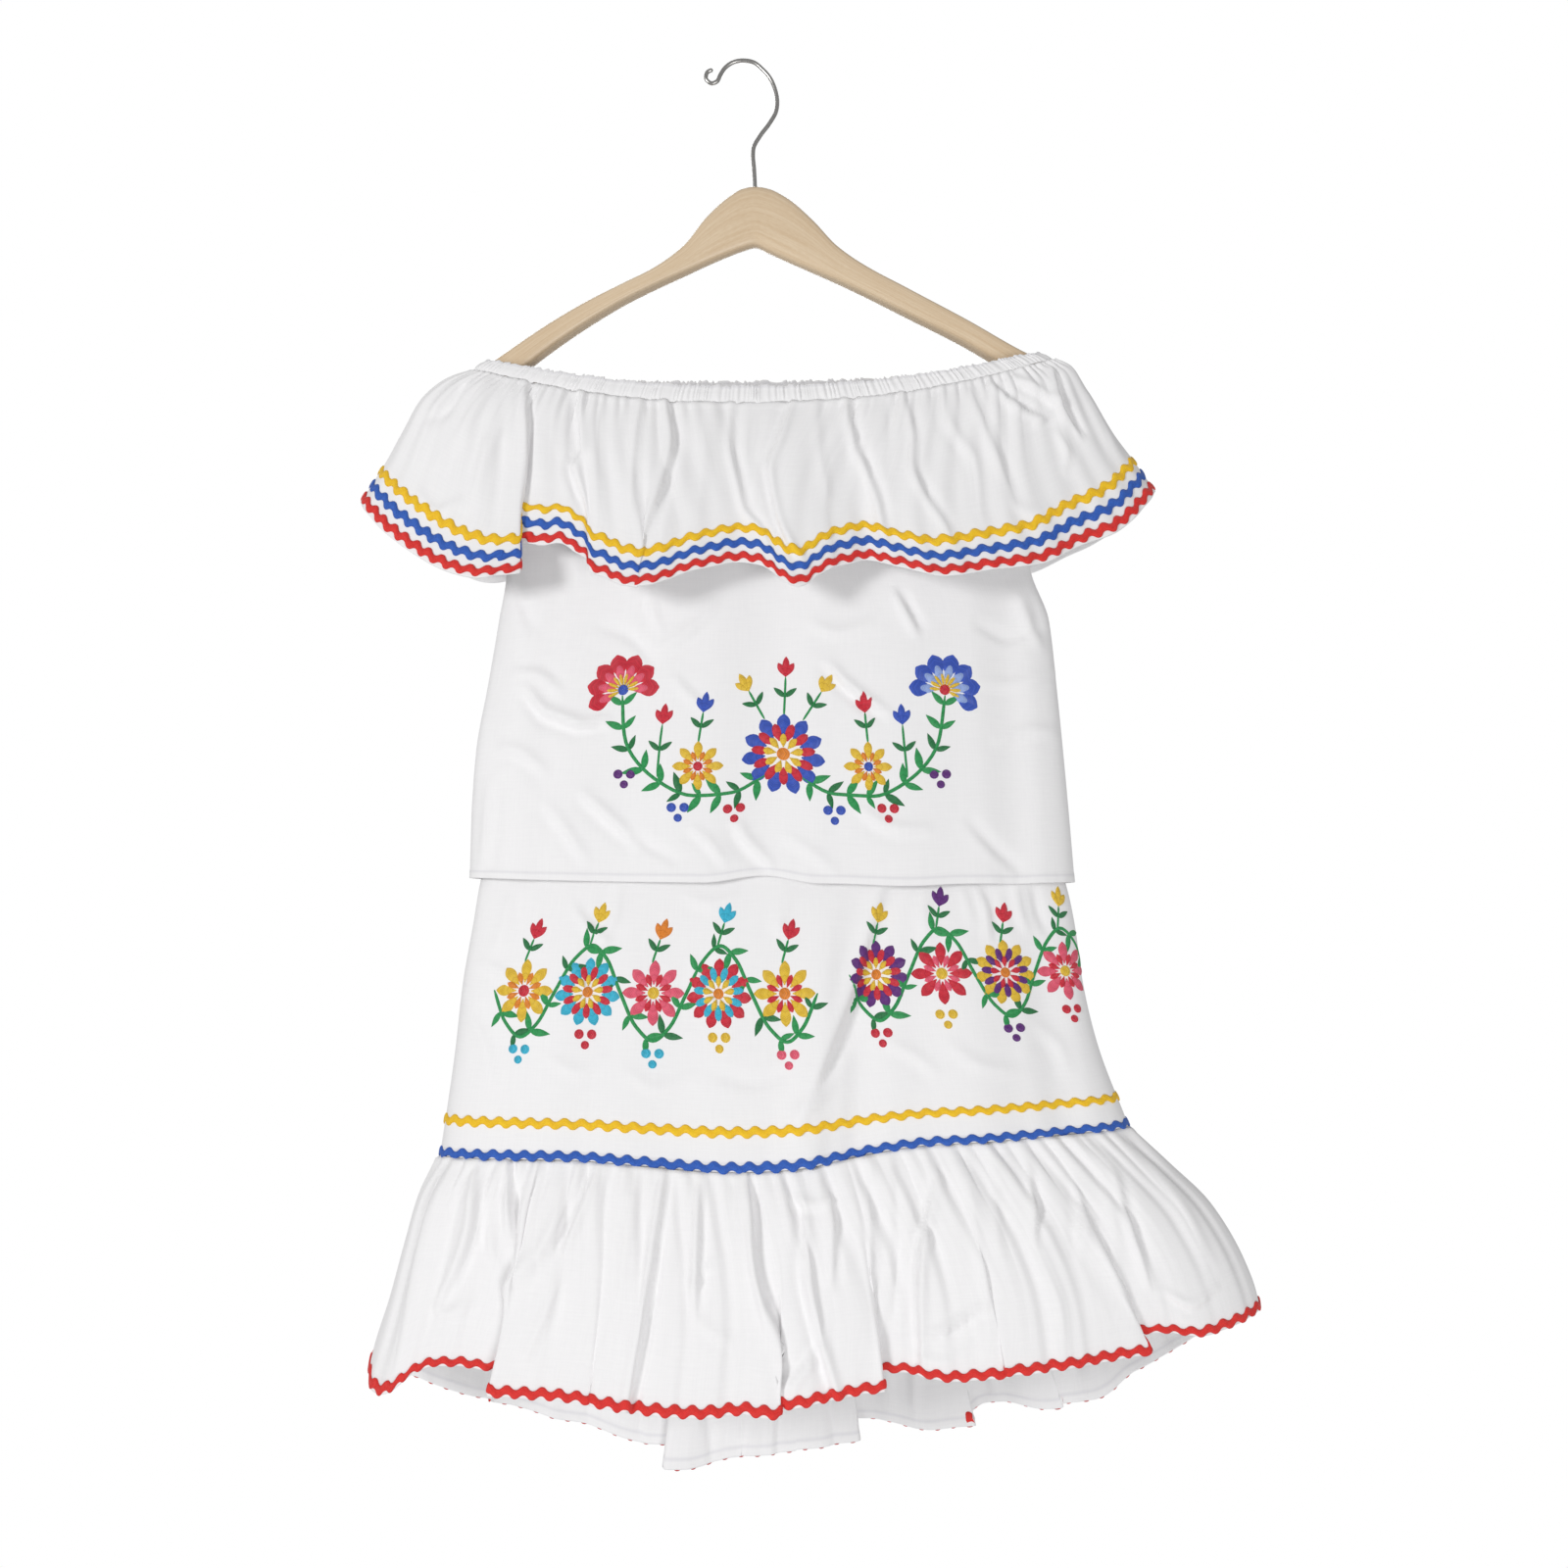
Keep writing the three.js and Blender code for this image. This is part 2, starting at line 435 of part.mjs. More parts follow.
// One half of the blouse body. The panel narrows above the underarm, which leaves the armholes open.
function bodyPanel(isFront, columns) {
  const underarm = 97;
  const rings = BODY_RINGS;
  const length = rings[rings.length - 1].s;
  const levels = rings.map((row) => row.s);
  const grid = [];
  for (let i = 0; i <= columns; i += 1) {
    const column = levels.map((s) => {
      const rise = clamp01(1 - s / underarm);
      const cut = 0.203 * (1 - (1 - rise) ** 2) ** 0.8;
      const from = isFront ? 1 + cut : cut;
      const to = isFront ? 2 - cut : 1 - cut;
      const turns = bodyTurns(from, to, columns);
      const point = onRing(ringAt(rings, s), turns[i]);
      const { out, drop } = foldsAt(isFront ? BODY_FRONT_FOLDS : BODY_BACK_FOLDS, point.x, s / length);
      const below = clamp01((s - 20) / 100);
      const side = isFront ? -1 : 1;
      point.y = side * Math.max(SEAM, side * point.y + out * below);
      point.z -= drop * (s / length) ** 3;
      return point;
    });
    grid.push(column);
  }
  return clothWall(grid, gridNormals(grid, false), CLOTH_TOP, false);
}

const turnsKept = new Map();
function bodyTurns(from, to, columns) {
  const key = `${from.toFixed(5)} ${columns}`;
  if (!turnsKept.has(key)) {
    turnsKept.set(key, evenTurns(BODY_RINGS[BODY_RINGS.length - 1], from, to, columns));
  }
  return turnsKept.get(key);
}

// ---------------------------------------------------------------- skirt
function waistband() {
  const tube = tubeOf({
    rings: WAIST_RINGS,
    widest: SKIRT_RINGS[SKIRT_RINGS.length - 1],
    levels: WAIST_RINGS.map((row) => row.s),
    columnsFront: 24,
    columnsBack: 18,
    shape: () => ({ out: 0, drop: 0 }),
  });
  return clothWall(tube.grid, tube.normals, BAND, true);
}

function skirtTube() {
  const seam = 268;
  return tubeOf({
    rings: SKIRT_RINGS,
    levels: [0, 38, 78, 113, 153, 198, seam - 29, seam - 29 + TRIM_BAND, seam - TRIM_BAND, seam],
    columnsFront: 24,
    columnsBack: 18,
    shape: ({ point, isFront, down }) => {
      const { out } = foldsAt(isFront ? SKIRT_FRONT_FOLDS : SKIRT_BACK_FOLDS, point.x, down);
      const seamFold = foldsAt(isFront ? SEAM_FOLDS : [], point.x, 1);
      const edge = clamp01((Math.abs(point.y) - 4) / 12);
      const shown = clamp01((down - 0.3) / 0.3);
      return { out: (out * shown + seamFold.out * down ** 4) * edge, drop: seamFold.drop * down ** 4 };
    },
  });
}

// Side of a pleat: it rises slowly over three columns and falls back at the fourth.
const PLEAT_PROFILE = [-1, 0.1, 0.75, 1];
function hemFlounce() {
  return tubeOf({
    rings: HEM_RINGS,
    levels: HEM_RINGS.map((row) => row.s),
    columnsFront: PLEATS_FRONT * 4,
    columnsBack: PLEATS_BACK * 4,
    shape: ({ point, k, isFront, down }) => {
      const { out, drop } = foldsAt(isFront ? HEM_FRONT_FOLDS : HEM_BACK_FOLDS, point.x, down);
      const seamFold = foldsAt(isFront ? SEAM_FOLDS : [], point.x, 1);
      const pleat = Math.floor(k / 4);
      const depth = PLEAT_DEPTH * (0.45 + 0.55 * unevenness(pleat + (isFront ? 3 : 40)));
      const opened = 1 - PLEAT_OPEN * unevenness(pleat + 90) * down;
      const fold = PLEAT_PROFILE[k % 4] * depth * opened * clamp01(down * 8);
      const edge = clamp01((Math.abs(point.y) - 6) / 16);
      const total = out * down ** 1.1 + fold + seamFold.out * (1 - down);
      return { out: total * edge, drop: drop * down ** 2 * edge + seamFold.drop * (1 - down) ** 2 };
    },
  });
}

// ---------------------------------------------------------------- loops, hook and wood
// A flat tape from the front of the waistband over the hanger's arm to the back of the waistband.
function hangingLoop({ x, bend, foot, arm, top, tilt }) {
  const side = Math.sign(x);
  const clear = GAP + TAPE.thick / 2;
  const legY = arm + clear;
  const footPoint = (yShare) => {
    const middle = (WAIST_RINGS[0].xl + WAIST_RINGS[0].xr) / 2;
    const across = (foot - middle) / (WAIST_RINGS[0].xr - middle);
    const turn = Math.acos(signedPower(across, WAIST_RINGS[0].n / 2)) / Math.PI;
    const point = onRing(WAIST_RINGS[0], yShare < 0 ? 2 - turn : turn);
    return { x: foot, y: point.y, z: point.z + GAP + 1.6, tilt: 0 };
  };
  const leg = (sign) => [
    footPoint(sign),
    { x: bend, y: sign * 6, z: LOOP_BEND_Z, tilt: -side * 12 },
    { x: x + side * 0.5, y: sign * legY, z: top - 26, tilt: tilt * 0.75 },
    { x, y: sign * legY, z: top - 2, tilt },
    { x, y: sign * (legY - 1.4), z: top + clear / Math.cos(THREE.MathUtils.degToRad(tilt)), tilt },
  ];
  const stations = [...leg(-1), ...leg(1).reverse()];
  const centres = stations.map((row) => new THREE.Vector3(row.x, row.y, row.z));
  const outer = [];
  const inner = [];
  stations.forEach((row, i) => {
    const before = centres[Math.max(0, i - 1)];
    const after = centres[Math.min(centres.length - 1, i + 1)];
    const along = new THREE.Vector3().subVectors(after, before).normalize();
    const angle = THREE.MathUtils.degToRad(row.tilt);
    const wide = new THREE.Vector3(Math.cos(angle), 0, Math.sin(angle));
    const face = new THREE.Vector3().crossVectors(along, wide).normalize();
    const corner = (w, t) => centres[i].clone().addScaledVector(wide, w).addScaledVector(face, t);
    const half = TAPE.width / 2;
    const thick = TAPE.thick / 2;
    outer.push([corner(-half, thick), corner(half, thick)]);
    inner.push([corner(-half, -thick), corner(half, -thick)]);
  });
  return wallSolid(outer, inner, false);
}

// A closed solid through rings of points, with a flat fan at each end.
function loftSolid(rings) {
  const n = rings[0].length;
  const positions = rings.flat().flatMap((point) => [point.x, point.y, point.z]);
  const index = [];
  for (let k = 0; k < rings.length - 1; k += 1) {
    for (let i = 0; i < n; i += 1) {
      const a = k * n + i;
      const b = k * n + ((i + 1) % n);
      index.push(a, b, b + n, a, b + n, a + n);
    }
  }
  const last = (rings.length - 1) * n;
  for (let i = 1; i < n - 1; i += 1) {
    index.push(0, i + 1, i);
    index.push(last, last + i, last + i + 1);
  }
  const geometry = new THREE.BufferGeometry();
  geometry.setAttribute("position", new THREE.Float32BufferAttribute(positions, 3));
  geometry.setIndex(index);
  return facedOutwards(geometry);
}

function hangerWood() {
  const chamfer = 0.3;
  const rings = WOOD_SECTIONS.map(({ x, top, bottom, half }) => {
    const cut = Math.min(half, (top - bottom) / 2) * chamfer;
    const corners = [
      [-half + cut, top], [half - cut, top], [half, top - cut], [half, bottom + cut],
      [half - cut, bottom], [-half + cut, bottom], [-half, bottom + cut], [-half, top - cut],
    ];
    return corners.map(([y, z]) => new THREE.Vector3(x, y, z));
  });
  return loftSolid(rings);
}

function hangerHook() {
  const line = new THREE.CatmullRomCurve3(WIRE_LINE.map(({ x, z }) => new THREE.Vector3(x, 0, z)));
  const steps = 42;
  const rings = [];
  for (let k = 0; k <= steps; k += 1) {
    const centre = line.getPointAt(k / steps);
    const along = line.getTangentAt(k / steps);
    const side = new THREE.Vector3(0, 1, 0);
    const up = new THREE.Vector3().crossVectors(along, side).normalize();
    const ring = [];
    for (let i = 0; i < WIRE_SIDES; i += 1) {
      const angle = (2 * Math.PI * i) / WIRE_SIDES;
      const point = centre.clone().addScaledVector(side, WIRE * Math.cos(angle));
      ring.push(point.addScaledVector(up, WIRE * Math.sin(angle)));
    }
    rings.push(ring);
  }
  return loftSolid(rings);
}

// ---------------------------------------------------------------- assembly
const group = new THREE.Group();
group.name = "skirt_set_on_hanger";
function add(name, geometry, look) {
  const mesh = new THREE.Mesh(geometry, new THREE.MeshStandardMaterial({ ...look, side: THREE.FrontSide }));
  mesh.name = name;
  group.add(mesh);
}

const flounce = neckFlounce();
const flounceWalls = halfWalls(flounce, CLOTH_TOP);
const skirt = skirtTube();
const skirtWalls = halfWalls(skirt, CLOTH);
const hem = hemFlounce();
const hemWalls = halfWalls(hem, CLOTH);

add("hanger_wood", hangerWood(), WOOD);
add("hanger_hook", hangerHook(), NICKEL);
add("blouse_casing", casing(), COTTON);
add("blouse_front", bodyPanel(true, 20), COTTON);
add("blouse_back", bodyPanel(false, 14), COTTON);
add("blouse_flounce_front", flounceWalls.front, COTTON);
add("blouse_flounce_back", flounceWalls.back, COTTON);
add("blouse_ricrac_yellow", tapeOn(flounce, 4, CLOTH_TOP), YELLOW);
add("blouse_ricrac_blue", tapeOn(flounce, 5, CLOTH_TOP), BLUE);
add("blouse_ricrac_red", tapeOn(flounce, 6, CLOTH_TOP), RED);
add("skirt_waistband", waistband(), COTTON);
add("skirt_front", skirtWalls.front, COTTON);
add("skirt_back", skirtWalls.back, COTTON);
add("skirt_ricrac_yellow", tapeOn(skirt, 6, CLOTH), YELLOW);
add("skirt_ricrac_blue", tapeOn(skirt, 8, CLOTH), BLUE);
add("skirt_flounce_front", hemWalls.front, COTTON);
add("skirt_flounce_back", hemWalls.back, COTTON);
add("skirt_ricrac_red", tapeOn(hem, 4, CLOTH), RED);
add("skirt_loop_left", hangingLoop(LOOP_LEFT), COTTON);
add("skirt_loop_right", hangingLoop(LOOP_RIGHT), COTTON);

export default group;
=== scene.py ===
"""Looks of a gathered, embroidered skirt set on its wooden hanger: cotton, ric-rac, hand stitches, beech and wire.

The frame has +Z up and the front of the garment towards -Y; its origin is the inside of the hook's crest.
Sizes of cloth, wood and wire are in millimetres, as a pattern cutter writes them, and become metres in the meshes.
"""

import logging
import math
from dataclasses import dataclass, field
from enum import Enum
from typing import Callable, Iterable, Sequence

import bmesh
import bpy
import numpy as np
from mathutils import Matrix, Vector

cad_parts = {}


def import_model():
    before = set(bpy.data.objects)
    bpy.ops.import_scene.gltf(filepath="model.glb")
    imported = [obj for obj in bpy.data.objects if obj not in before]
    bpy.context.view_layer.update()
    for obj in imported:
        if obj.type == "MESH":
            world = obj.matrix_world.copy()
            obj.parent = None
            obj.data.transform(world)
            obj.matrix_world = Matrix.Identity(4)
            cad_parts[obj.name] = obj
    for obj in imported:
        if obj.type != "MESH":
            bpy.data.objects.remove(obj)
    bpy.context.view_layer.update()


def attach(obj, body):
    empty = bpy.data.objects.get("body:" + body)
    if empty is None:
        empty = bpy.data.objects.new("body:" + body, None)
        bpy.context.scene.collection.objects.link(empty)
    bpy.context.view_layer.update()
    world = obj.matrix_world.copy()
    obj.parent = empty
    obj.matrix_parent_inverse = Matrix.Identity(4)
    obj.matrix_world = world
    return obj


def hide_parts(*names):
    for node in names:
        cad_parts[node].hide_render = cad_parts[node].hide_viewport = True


LOG = logging.getLogger("skirt_set")
MM = 0.001
SEAM_FADE = 8.0  # depth beside a side seam over which the small relief sets in
Array = np.ndarray


# ------------------------------------------------------------------------------------------------ small maths
class Half(Enum):
    """The two halves of a garment tube, with the side of the Y axis that they lie on."""

    FRONT = -1
    BACK = 1


def clamp01(value: Array) -> Array:
    """The value held between 0 and 1."""
    return np.clip(value, 0.0, 1.0)


def signed_power(value: Array, exponent: Array | float) -> Array:
    """A power that keeps the sign of its base."""
    return np.sign(value) * np.abs(value) ** exponent


def unevenness(index: int) -> float:
    """A number from 0 to 1 that looks random and is the same in every run."""
    raw = math.sin(index * 12.9898 + 4.1) * 43758.5453
    return raw - math.floor(raw)


def through(places: Array, values: Array, wanted: Array) -> Array:
    """A smooth curve through the rows of a table that never overshoots them.

    Args:
        places: where the rows are, rising.
        values: the value of each row.
        wanted: where the curve is read.

    Returns:
        The curve's values.
    """
    step = np.diff(places)
    rise = np.diff(values) / step
    slope = np.empty_like(values)
    slope[0], slope[-1] = rise[0], rise[-1]
    product = rise[:-1] * rise[1:]
    total = np.where(np.abs(rise[:-1] + rise[1:]) < 1e-12, 1.0, rise[:-1] + rise[1:])
    slope[1:-1] = np.where(product > 0, 2 * product / total, 0.0)
    row = np.clip(np.searchsorted(places, wanted, "right") - 1, 0, len(places) - 2)
    t = clamp01((wanted - places[row]) / step[row])
    start = (1 + 2 * t) * (1 - t) ** 2 * values[row] + t * (1 - t) ** 2 * step[row] * slope[row]
    end = t * t * (3 - 2 * t) * values[row + 1] + t * t * (t - 1) * step[row] * slope[row + 1]
    return start + end


def path_lengths(points: Array) -> Array:
    """Distances along a line of points, from its start."""
    return np.concatenate([[0.0], np.cumsum(np.linalg.norm(np.diff(points, axis=0), axis=1))])


def unit(vectors: Array) -> Array:
    """The vectors at length 1."""
    return vectors / np.maximum(np.linalg.norm(vectors, axis=-1, keepdims=True), 1e-9)


def between_columns(values: Sequence[float], column: Array) -> Array:
    """A soft wave through one value for each whole column."""
    table = np.asarray(values, float)
    low = np.clip(np.floor(column).astype(int), 0, len(table) - 2)
    t = column - low
    share = 0.5 - 0.5 * np.cos(np.pi * clamp01(t))
    return table[low] * (1 - share) + table[low + 1] * share


# ------------------------------------------------------------------------------------------------ rings and folds
RING_COLUMNS = (
    "down", "left_x", "left_z", "right_x", "right_z", "front_y", "front_z", "back_y", "back_z", "level", "square",
)
Ring = dict[str, Array]


@dataclass(frozen=True)
class RingTable:
    """Sections of a cloth tube, one row for each distance down the cloth.

    The columns are RING_COLUMNS: the left and right ends, the middle of the front and of the back, how far out a
    ring stays level before it rises to its ends, and how square its flattened oval is.
    """

    rows: tuple[tuple[float, ...], ...]

    @property
    def length(self) -> float:
        """Length of the cloth from its first to its last ring."""
        return self.rows[-1][0]

    def at(self, down: Array) -> Ring:
        """The ring's values at these distances down the cloth."""
        table = np.asarray(self.rows, float)
        return {
            name: through(table[:, 0], table[:, column], np.asarray(down, float))
            for column, name in enumerate(RING_COLUMNS)
        }


def on_ring(ring: Ring, turn: Array) -> tuple[Array, Array, Array]:
    """Points of a ring.

    Args:
        ring: the ring's values.
        turn: 0 at the right end, over the back to 1 at the left end, and over the front to 2.

    Returns:
        x, y and z.
    """
    c = signed_power(np.cos(np.pi * turn), 2 / ring["square"])
    d = signed_power(np.sin(np.pi * turn), 2 / ring["square"])
    share = (c + 1) / 2
    x = ring["left_x"] + (ring["right_x"] - ring["left_x"]) * share
    y = d * np.where(d < 0, ring["front_y"], ring["back_y"])
    middle = np.where(d < 0, ring["front_z"], ring["back_z"])
    ends = ring["left_z"] + (ring["right_z"] - ring["left_z"]) * share
    sag = middle - (ring["left_z"] + ring["right_z"]) / 2
    return x, y, ends + sag * (1 - np.abs(c) ** ring["level"])


class EvenTurns:
    """Turns that lie at even distances along a ring."""

    def __init__(self, ring: Ring) -> None:
        """Measures the ring once."""
        self.turns = np.linspace(0.0, 2.0, 8001)
        self.lengths = path_lengths(np.stack(on_ring(ring, self.turns), axis=-1))

    def between(self, start: Array, end: Array, share: Array) -> Array:
        """The turn at this share of the distance between two turns."""
        first = np.interp(start, self.turns, self.lengths)
        last = np.interp(end, self.turns, self.lengths)
        return np.interp(first + (last - first) * share, self.lengths, self.turns)


@dataclass(frozen=True)
class Fold:
    """A large fold of a half: its place at the lower edge, its reach to each side, and what it does there.

    out is how far the cloth stands out, drop how far its edge lowers, and lean the shift of the fold's upper end.
    """

    at: float
    left: float
    right: float
    out: float
    drop: float = 0.0
    lean: float = 0.0


def fold_sum(folds: Iterable[Fold], x: Array, down: Array | float) -> tuple[Array, Array]:
    """How far the large folds move the cloth out and its edge down at x."""
    out = np.zeros_like(x)
    drop = np.zeros_like(x)
    for fold in folds:
        away = x - (fold.at + fold.lean * (1 - down))
        reach = np.where(away < 0, fold.left, fold.right)
        share = np.cos(np.pi / 2 * clamp01(np.abs(away) / reach)) ** 2
        out = out + share * fold.out
        drop = drop + share * fold.drop
    return out, drop


@dataclass(frozen=True)
class Tuck:
    """A place where the cloth doubles back over itself towards the lower edge.

    at is the middle of the turn at the lower edge, reach its half width, slide how far the cloth slips over itself,
    and lean the shift of the turn's upper end.
    """

    at: float
    reach: float
    slide: float
    lean: float = 0.0


def tuck_sum(tucks: Iterable[Tuck], x: Array, down: Array) -> Array:
    """How far the tucks slide the cloth along itself at x."""
    total = np.zeros_like(x)
    for tuck in tucks:
        turn = np.clip((x - (tuck.at + tuck.lean * (1 - down))) / tuck.reach, -1, 1)
        total = total - tuck.slide * np.sin(np.pi * turn) * down**1.5
    return total


@dataclass(frozen=True)
class Crease:
    """A soft trough (depth below zero) or ridge of the cloth along a path of the front or back view.

    roll turns it from an even ridge (0) into a rolled fold, whose right side (1) or left side (-1) stands out over
    the other, as seen along the path.
    """

    path: tuple[tuple[float, float], ...]
    width: float
    depth: float
    roll: float = 0.0

    def relief(self, x: Array, z: Array) -> Array:
        """How far the crease moves the cloth outwards."""
        path = np.asarray(self.path, float)
        run = path[-1] - path[0]
        length = float(np.hypot(*run))
        along, side = self.frame(path[0], run, length, x, z)
        knots, bends = self.frame(path[0], run, length, path[:, 0], path[:, 1])
        t = (side - through(knots, bends, clamp01(along))) / (0.82 * self.width)
        fade = np.sin(np.pi * clamp01(0.1 + 0.8 * along)) ** 0.7
        profile = (1 - abs(self.roll)) + 2.33 * self.roll * t
        crisp = 0.7 * abs(self.depth * self.roll) * np.exp(-4 * np.abs(t))
        return fade * (self.depth * profile * np.exp(-(t**2)) - crisp)

    @staticmethod
    def frame(start: Array, run: Array, length: float, x: Array, z: Array) -> tuple[Array, Array]:
        """Places along a path, from 0 to 1, and to its right."""
        along = ((x - start[0]) * run[0] + (z - start[1]) * run[1]) / length**2
        return along, ((z - start[1]) * run[0] - (x - start[0]) * run[1]) / length


def creases(*rows: Sequence[float]) -> tuple[Crease, ...]:
    """Creases from rows: x and z of each place of the path, and then width, depth and roll."""
    return tuple(Crease(tuple(zip(row[:-3:2], row[1:-3:2])), *row[-3:]) for row in rows)


@dataclass(frozen=True)
class Gathers:
    """Small gathers that start at a seam and fade down the cloth, uneven in place, height and length."""

    count: int
    height: float
    reach: float
    seed: int

    def relief(self, share: Array, below: Array) -> Array:
        """How far the gathers move the cloth outwards.

        Args:
            share: place across the half, from 0 to 1.
            below: distance below the seam.

        Returns:
            The movement.
        """
        total = np.zeros(np.broadcast_shapes(share.shape, below.shape))
        for k in range(self.count):
            one, two, three = (unevenness(self.seed + 3 * k + n) for n in range(3))
            centre = (k + 0.2 + 0.6 * one) / self.count
            drift = (two - 0.5) * 0.5 / self.count * below / self.reach
            reach = self.reach * (0.35 + 1.3 * three * three)
            sharp = self.count * (3.1 - 1.3 * clamp01(below / self.reach))
            bump = np.exp(-(((share - centre - drift) * sharp) ** 2))
            furrow = np.exp(-np.abs(share - centre - drift - 0.5 / self.count) * self.count * 3.2)
            fade = np.exp(-((below / reach) ** 1.4))
            furrow = furrow * clamp01(below / 5) * (0.3 + 1.2 * one)
            total += self.height * fade * ((0.5 + 0.9 * two) * bump - furrow)
        return total


# ------------------------------------------------------------------------------------------------ cloth surfaces
@dataclass
class Patch:
    """A surface of cloth: points[i, j], with i across it and j down it, in millimetres, and its outward normals."""

    points: Array
    normals: Array
    down: Array
    flat_u: Array

    def lifted(self, distance: Array | float) -> Array:
        """The points moved outwards."""
        lift = np.asarray(distance, float)
        return self.points + self.normals * (lift[..., None] if lift.ndim else lift)

    def read(self, grid: Array, column: Array, row: Array) -> Array:
        """A grid's values between its points."""
        n, m = grid.shape[:2]
        i = np.clip(np.floor(column).astype(int), 0, n - 2)
        j = np.clip(np.floor(row).astype(int), 0, m - 2)
        a = (column - i)[..., None]
        b = (row - j)[..., None]
        upper = grid[i, j] * (1 - a) + grid[i + 1, j] * a
        lower = grid[i, j + 1] * (1 - a) + grid[i + 1, j + 1] * a
        return upper * (1 - b) + lower * b

    def place(self, column: Array, down: Array, height: Array) -> Array:
        """Points that lie on the patch or stand out from it."""
        past = np.maximum(0.0, down - self.down[-1]) / (self.down[-1] - self.down[-2])
        row = np.interp(down, self.down, np.arange(len(self.down))) + past
        normal = unit(self.read(self.normals, column, row))
        return self.read(self.points, column, row) + normal * height[..., None]


def outward_normals(points: Array) -> Array:
    """Normals of a grid of cloth that point away from the wearer."""
    return unit(np.cross(np.gradient(points, axis=1), np.gradient(points, axis=0)))


def seam_normals(normals: Array) -> Array:
    """The normals with their first and last column turned into the plane of the side seam."""
    turned = normals.copy()
    for column in (0, -1):
        turned[column, :, 1] = 0.0
    return unit(turned)


Shape = Callable[[Half, Array, Array, Array, Array], tuple[Array, Array]]
Relief = Callable[[Half, Array, Array, Array, Array], Array]


@dataclass
class ClothTube:
    """A tube of cloth of two halves. Columns run from left to right at the front and back again at the back."""

    rings: RingTable
    front_columns: int
    back_columns: int
    shape: Shape
    relief: Relief
    tucks: dict[Half, tuple[Tuck, ...]] = field(default_factory=dict)
    armhole: Callable[[Array], Array] = field(default=lambda down: np.zeros_like(down))

    def patch(self, half: Half, across: int, down: Array) -> Patch:
        """The surface of one half.

        Args:
            half: front or back.
            across: number of steps across.
            down: distances down the cloth, from 0 to the tube's length.

        Returns:
            The patch, with its small folds in it.
        """
        columns = self.front_columns if half is Half.FRONT else self.back_columns
        column = np.linspace(0.0, columns, across + 1)[:, None]
        s = np.asarray(down, float)[None, :]
        start = 1.0 if half is Half.FRONT else 0.0
        cut = self.armhole(s)
        even = EvenTurns(self.rings.at(np.array(self.rings.length)))
        turn = even.between(start + cut, start + 1 - cut, column / columns)
        ring = self.rings.at(s)
        x, y, z = on_ring(ring, turn)
        ahead_x, ahead_y, _ = on_ring(ring, turn + 0.004)
        behind_x, behind_y, _ = on_ring(ring, turn - 0.004)
        outward = unit(np.stack([ahead_y - behind_y, behind_x - ahead_x], axis=-1))
        share = s / self.rings.length + 0 * x
        out, drop = self.shape(half, x, y, column + 0 * x, share)
        level_x = x
        x = x + outward[..., 0] * out + tuck_sum(self.tucks.get(half, ()), x, share)
        y = half.value * np.maximum(0.0, half.value * (y + outward[..., 1] * out))
        points = np.stack([x, y, z - drop], axis=-1)
        relief = self.relief(half, level_x, z, column / columns + 0 * x, s + 0 * x)
        points = points + outward_normals(points) * (relief * clamp01(np.abs(y) / SEAM_FADE))[..., None]
        points[..., 1] = half.value * np.maximum(0.0, half.value * points[..., 1])
        if not np.any(cut):
            points[[0, -1], :, 1] = 0.0
        normals = seam_normals(outward_normals(points))
        return Patch(points, normals, np.asarray(down, float), path_lengths(points[:, -1]))


# ------------------------------------------------------------------------------------------------ meshes
def grid_mesh(points: Array, uv: Array, weld: float = 2e-6) -> bmesh.types.BMesh:
    """A grid of faces laid on points, with places that coincide welded.

    Args:
        points: (rows, columns, 3) in millimetres.
        uv: (rows, columns, 2) in metres, kept in the UV map "cloth".
        weld: distance in metres under which vertices become one.

    Returns:
        The bmesh, with its faces smooth; they may all still point inwards.
    """
    rows, columns = points.shape[:2]
    bm = bmesh.new()
    bmesh.ops.create_grid(bm, x_segments=rows - 1, y_segments=columns - 1, size=1.0)
    low = min(v.co.x for v in bm.verts)
    high = max(v.co.x for v in bm.verts)
    span = high - low
    places = [
        (round((v.co.x - low) / span * (rows - 1)), round((v.co.y - low) / span * (columns - 1))) for v in bm.verts
    ]
    at = (points * MM).tolist()
    flat = uv.tolist()
    bm.verts.index_update()
    layer = bm.loops.layers.uv.new("cloth")
    for face in bm.faces:
        face.smooth = True
        for loop in face.loops:
            i, j = places[loop.vert.index]
            loop[layer].uv = flat[i][j]
    for vertex, (i, j) in zip(bm.verts, places):
        vertex.co = at[i][j]
    bmesh.ops.remove_doubles(bm, verts=bm.verts, dist=weld)
    bmesh.ops.dissolve_degenerate(bm, dist=weld / 2, edges=bm.edges)
    return bm


def finished(name: str, bm: bmesh.types.BMesh, materials: Sequence[bpy.types.Material]) -> bpy.types.Object:
    """A finished object with its place in its mesh, which rides on the one body."""
    mesh = bpy.data.meshes.new(name)
    bm.to_mesh(mesh)
    bm.free()
    for material in materials:
        mesh.materials.append(material)
    made = bpy.data.objects.new(name, mesh)
    bpy.context.scene.collection.objects.link(made)
    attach(made, "root")
    LOG.info("%s: %d vertices, %d faces", name, len(mesh.vertices), len(mesh.polygons))
    return made


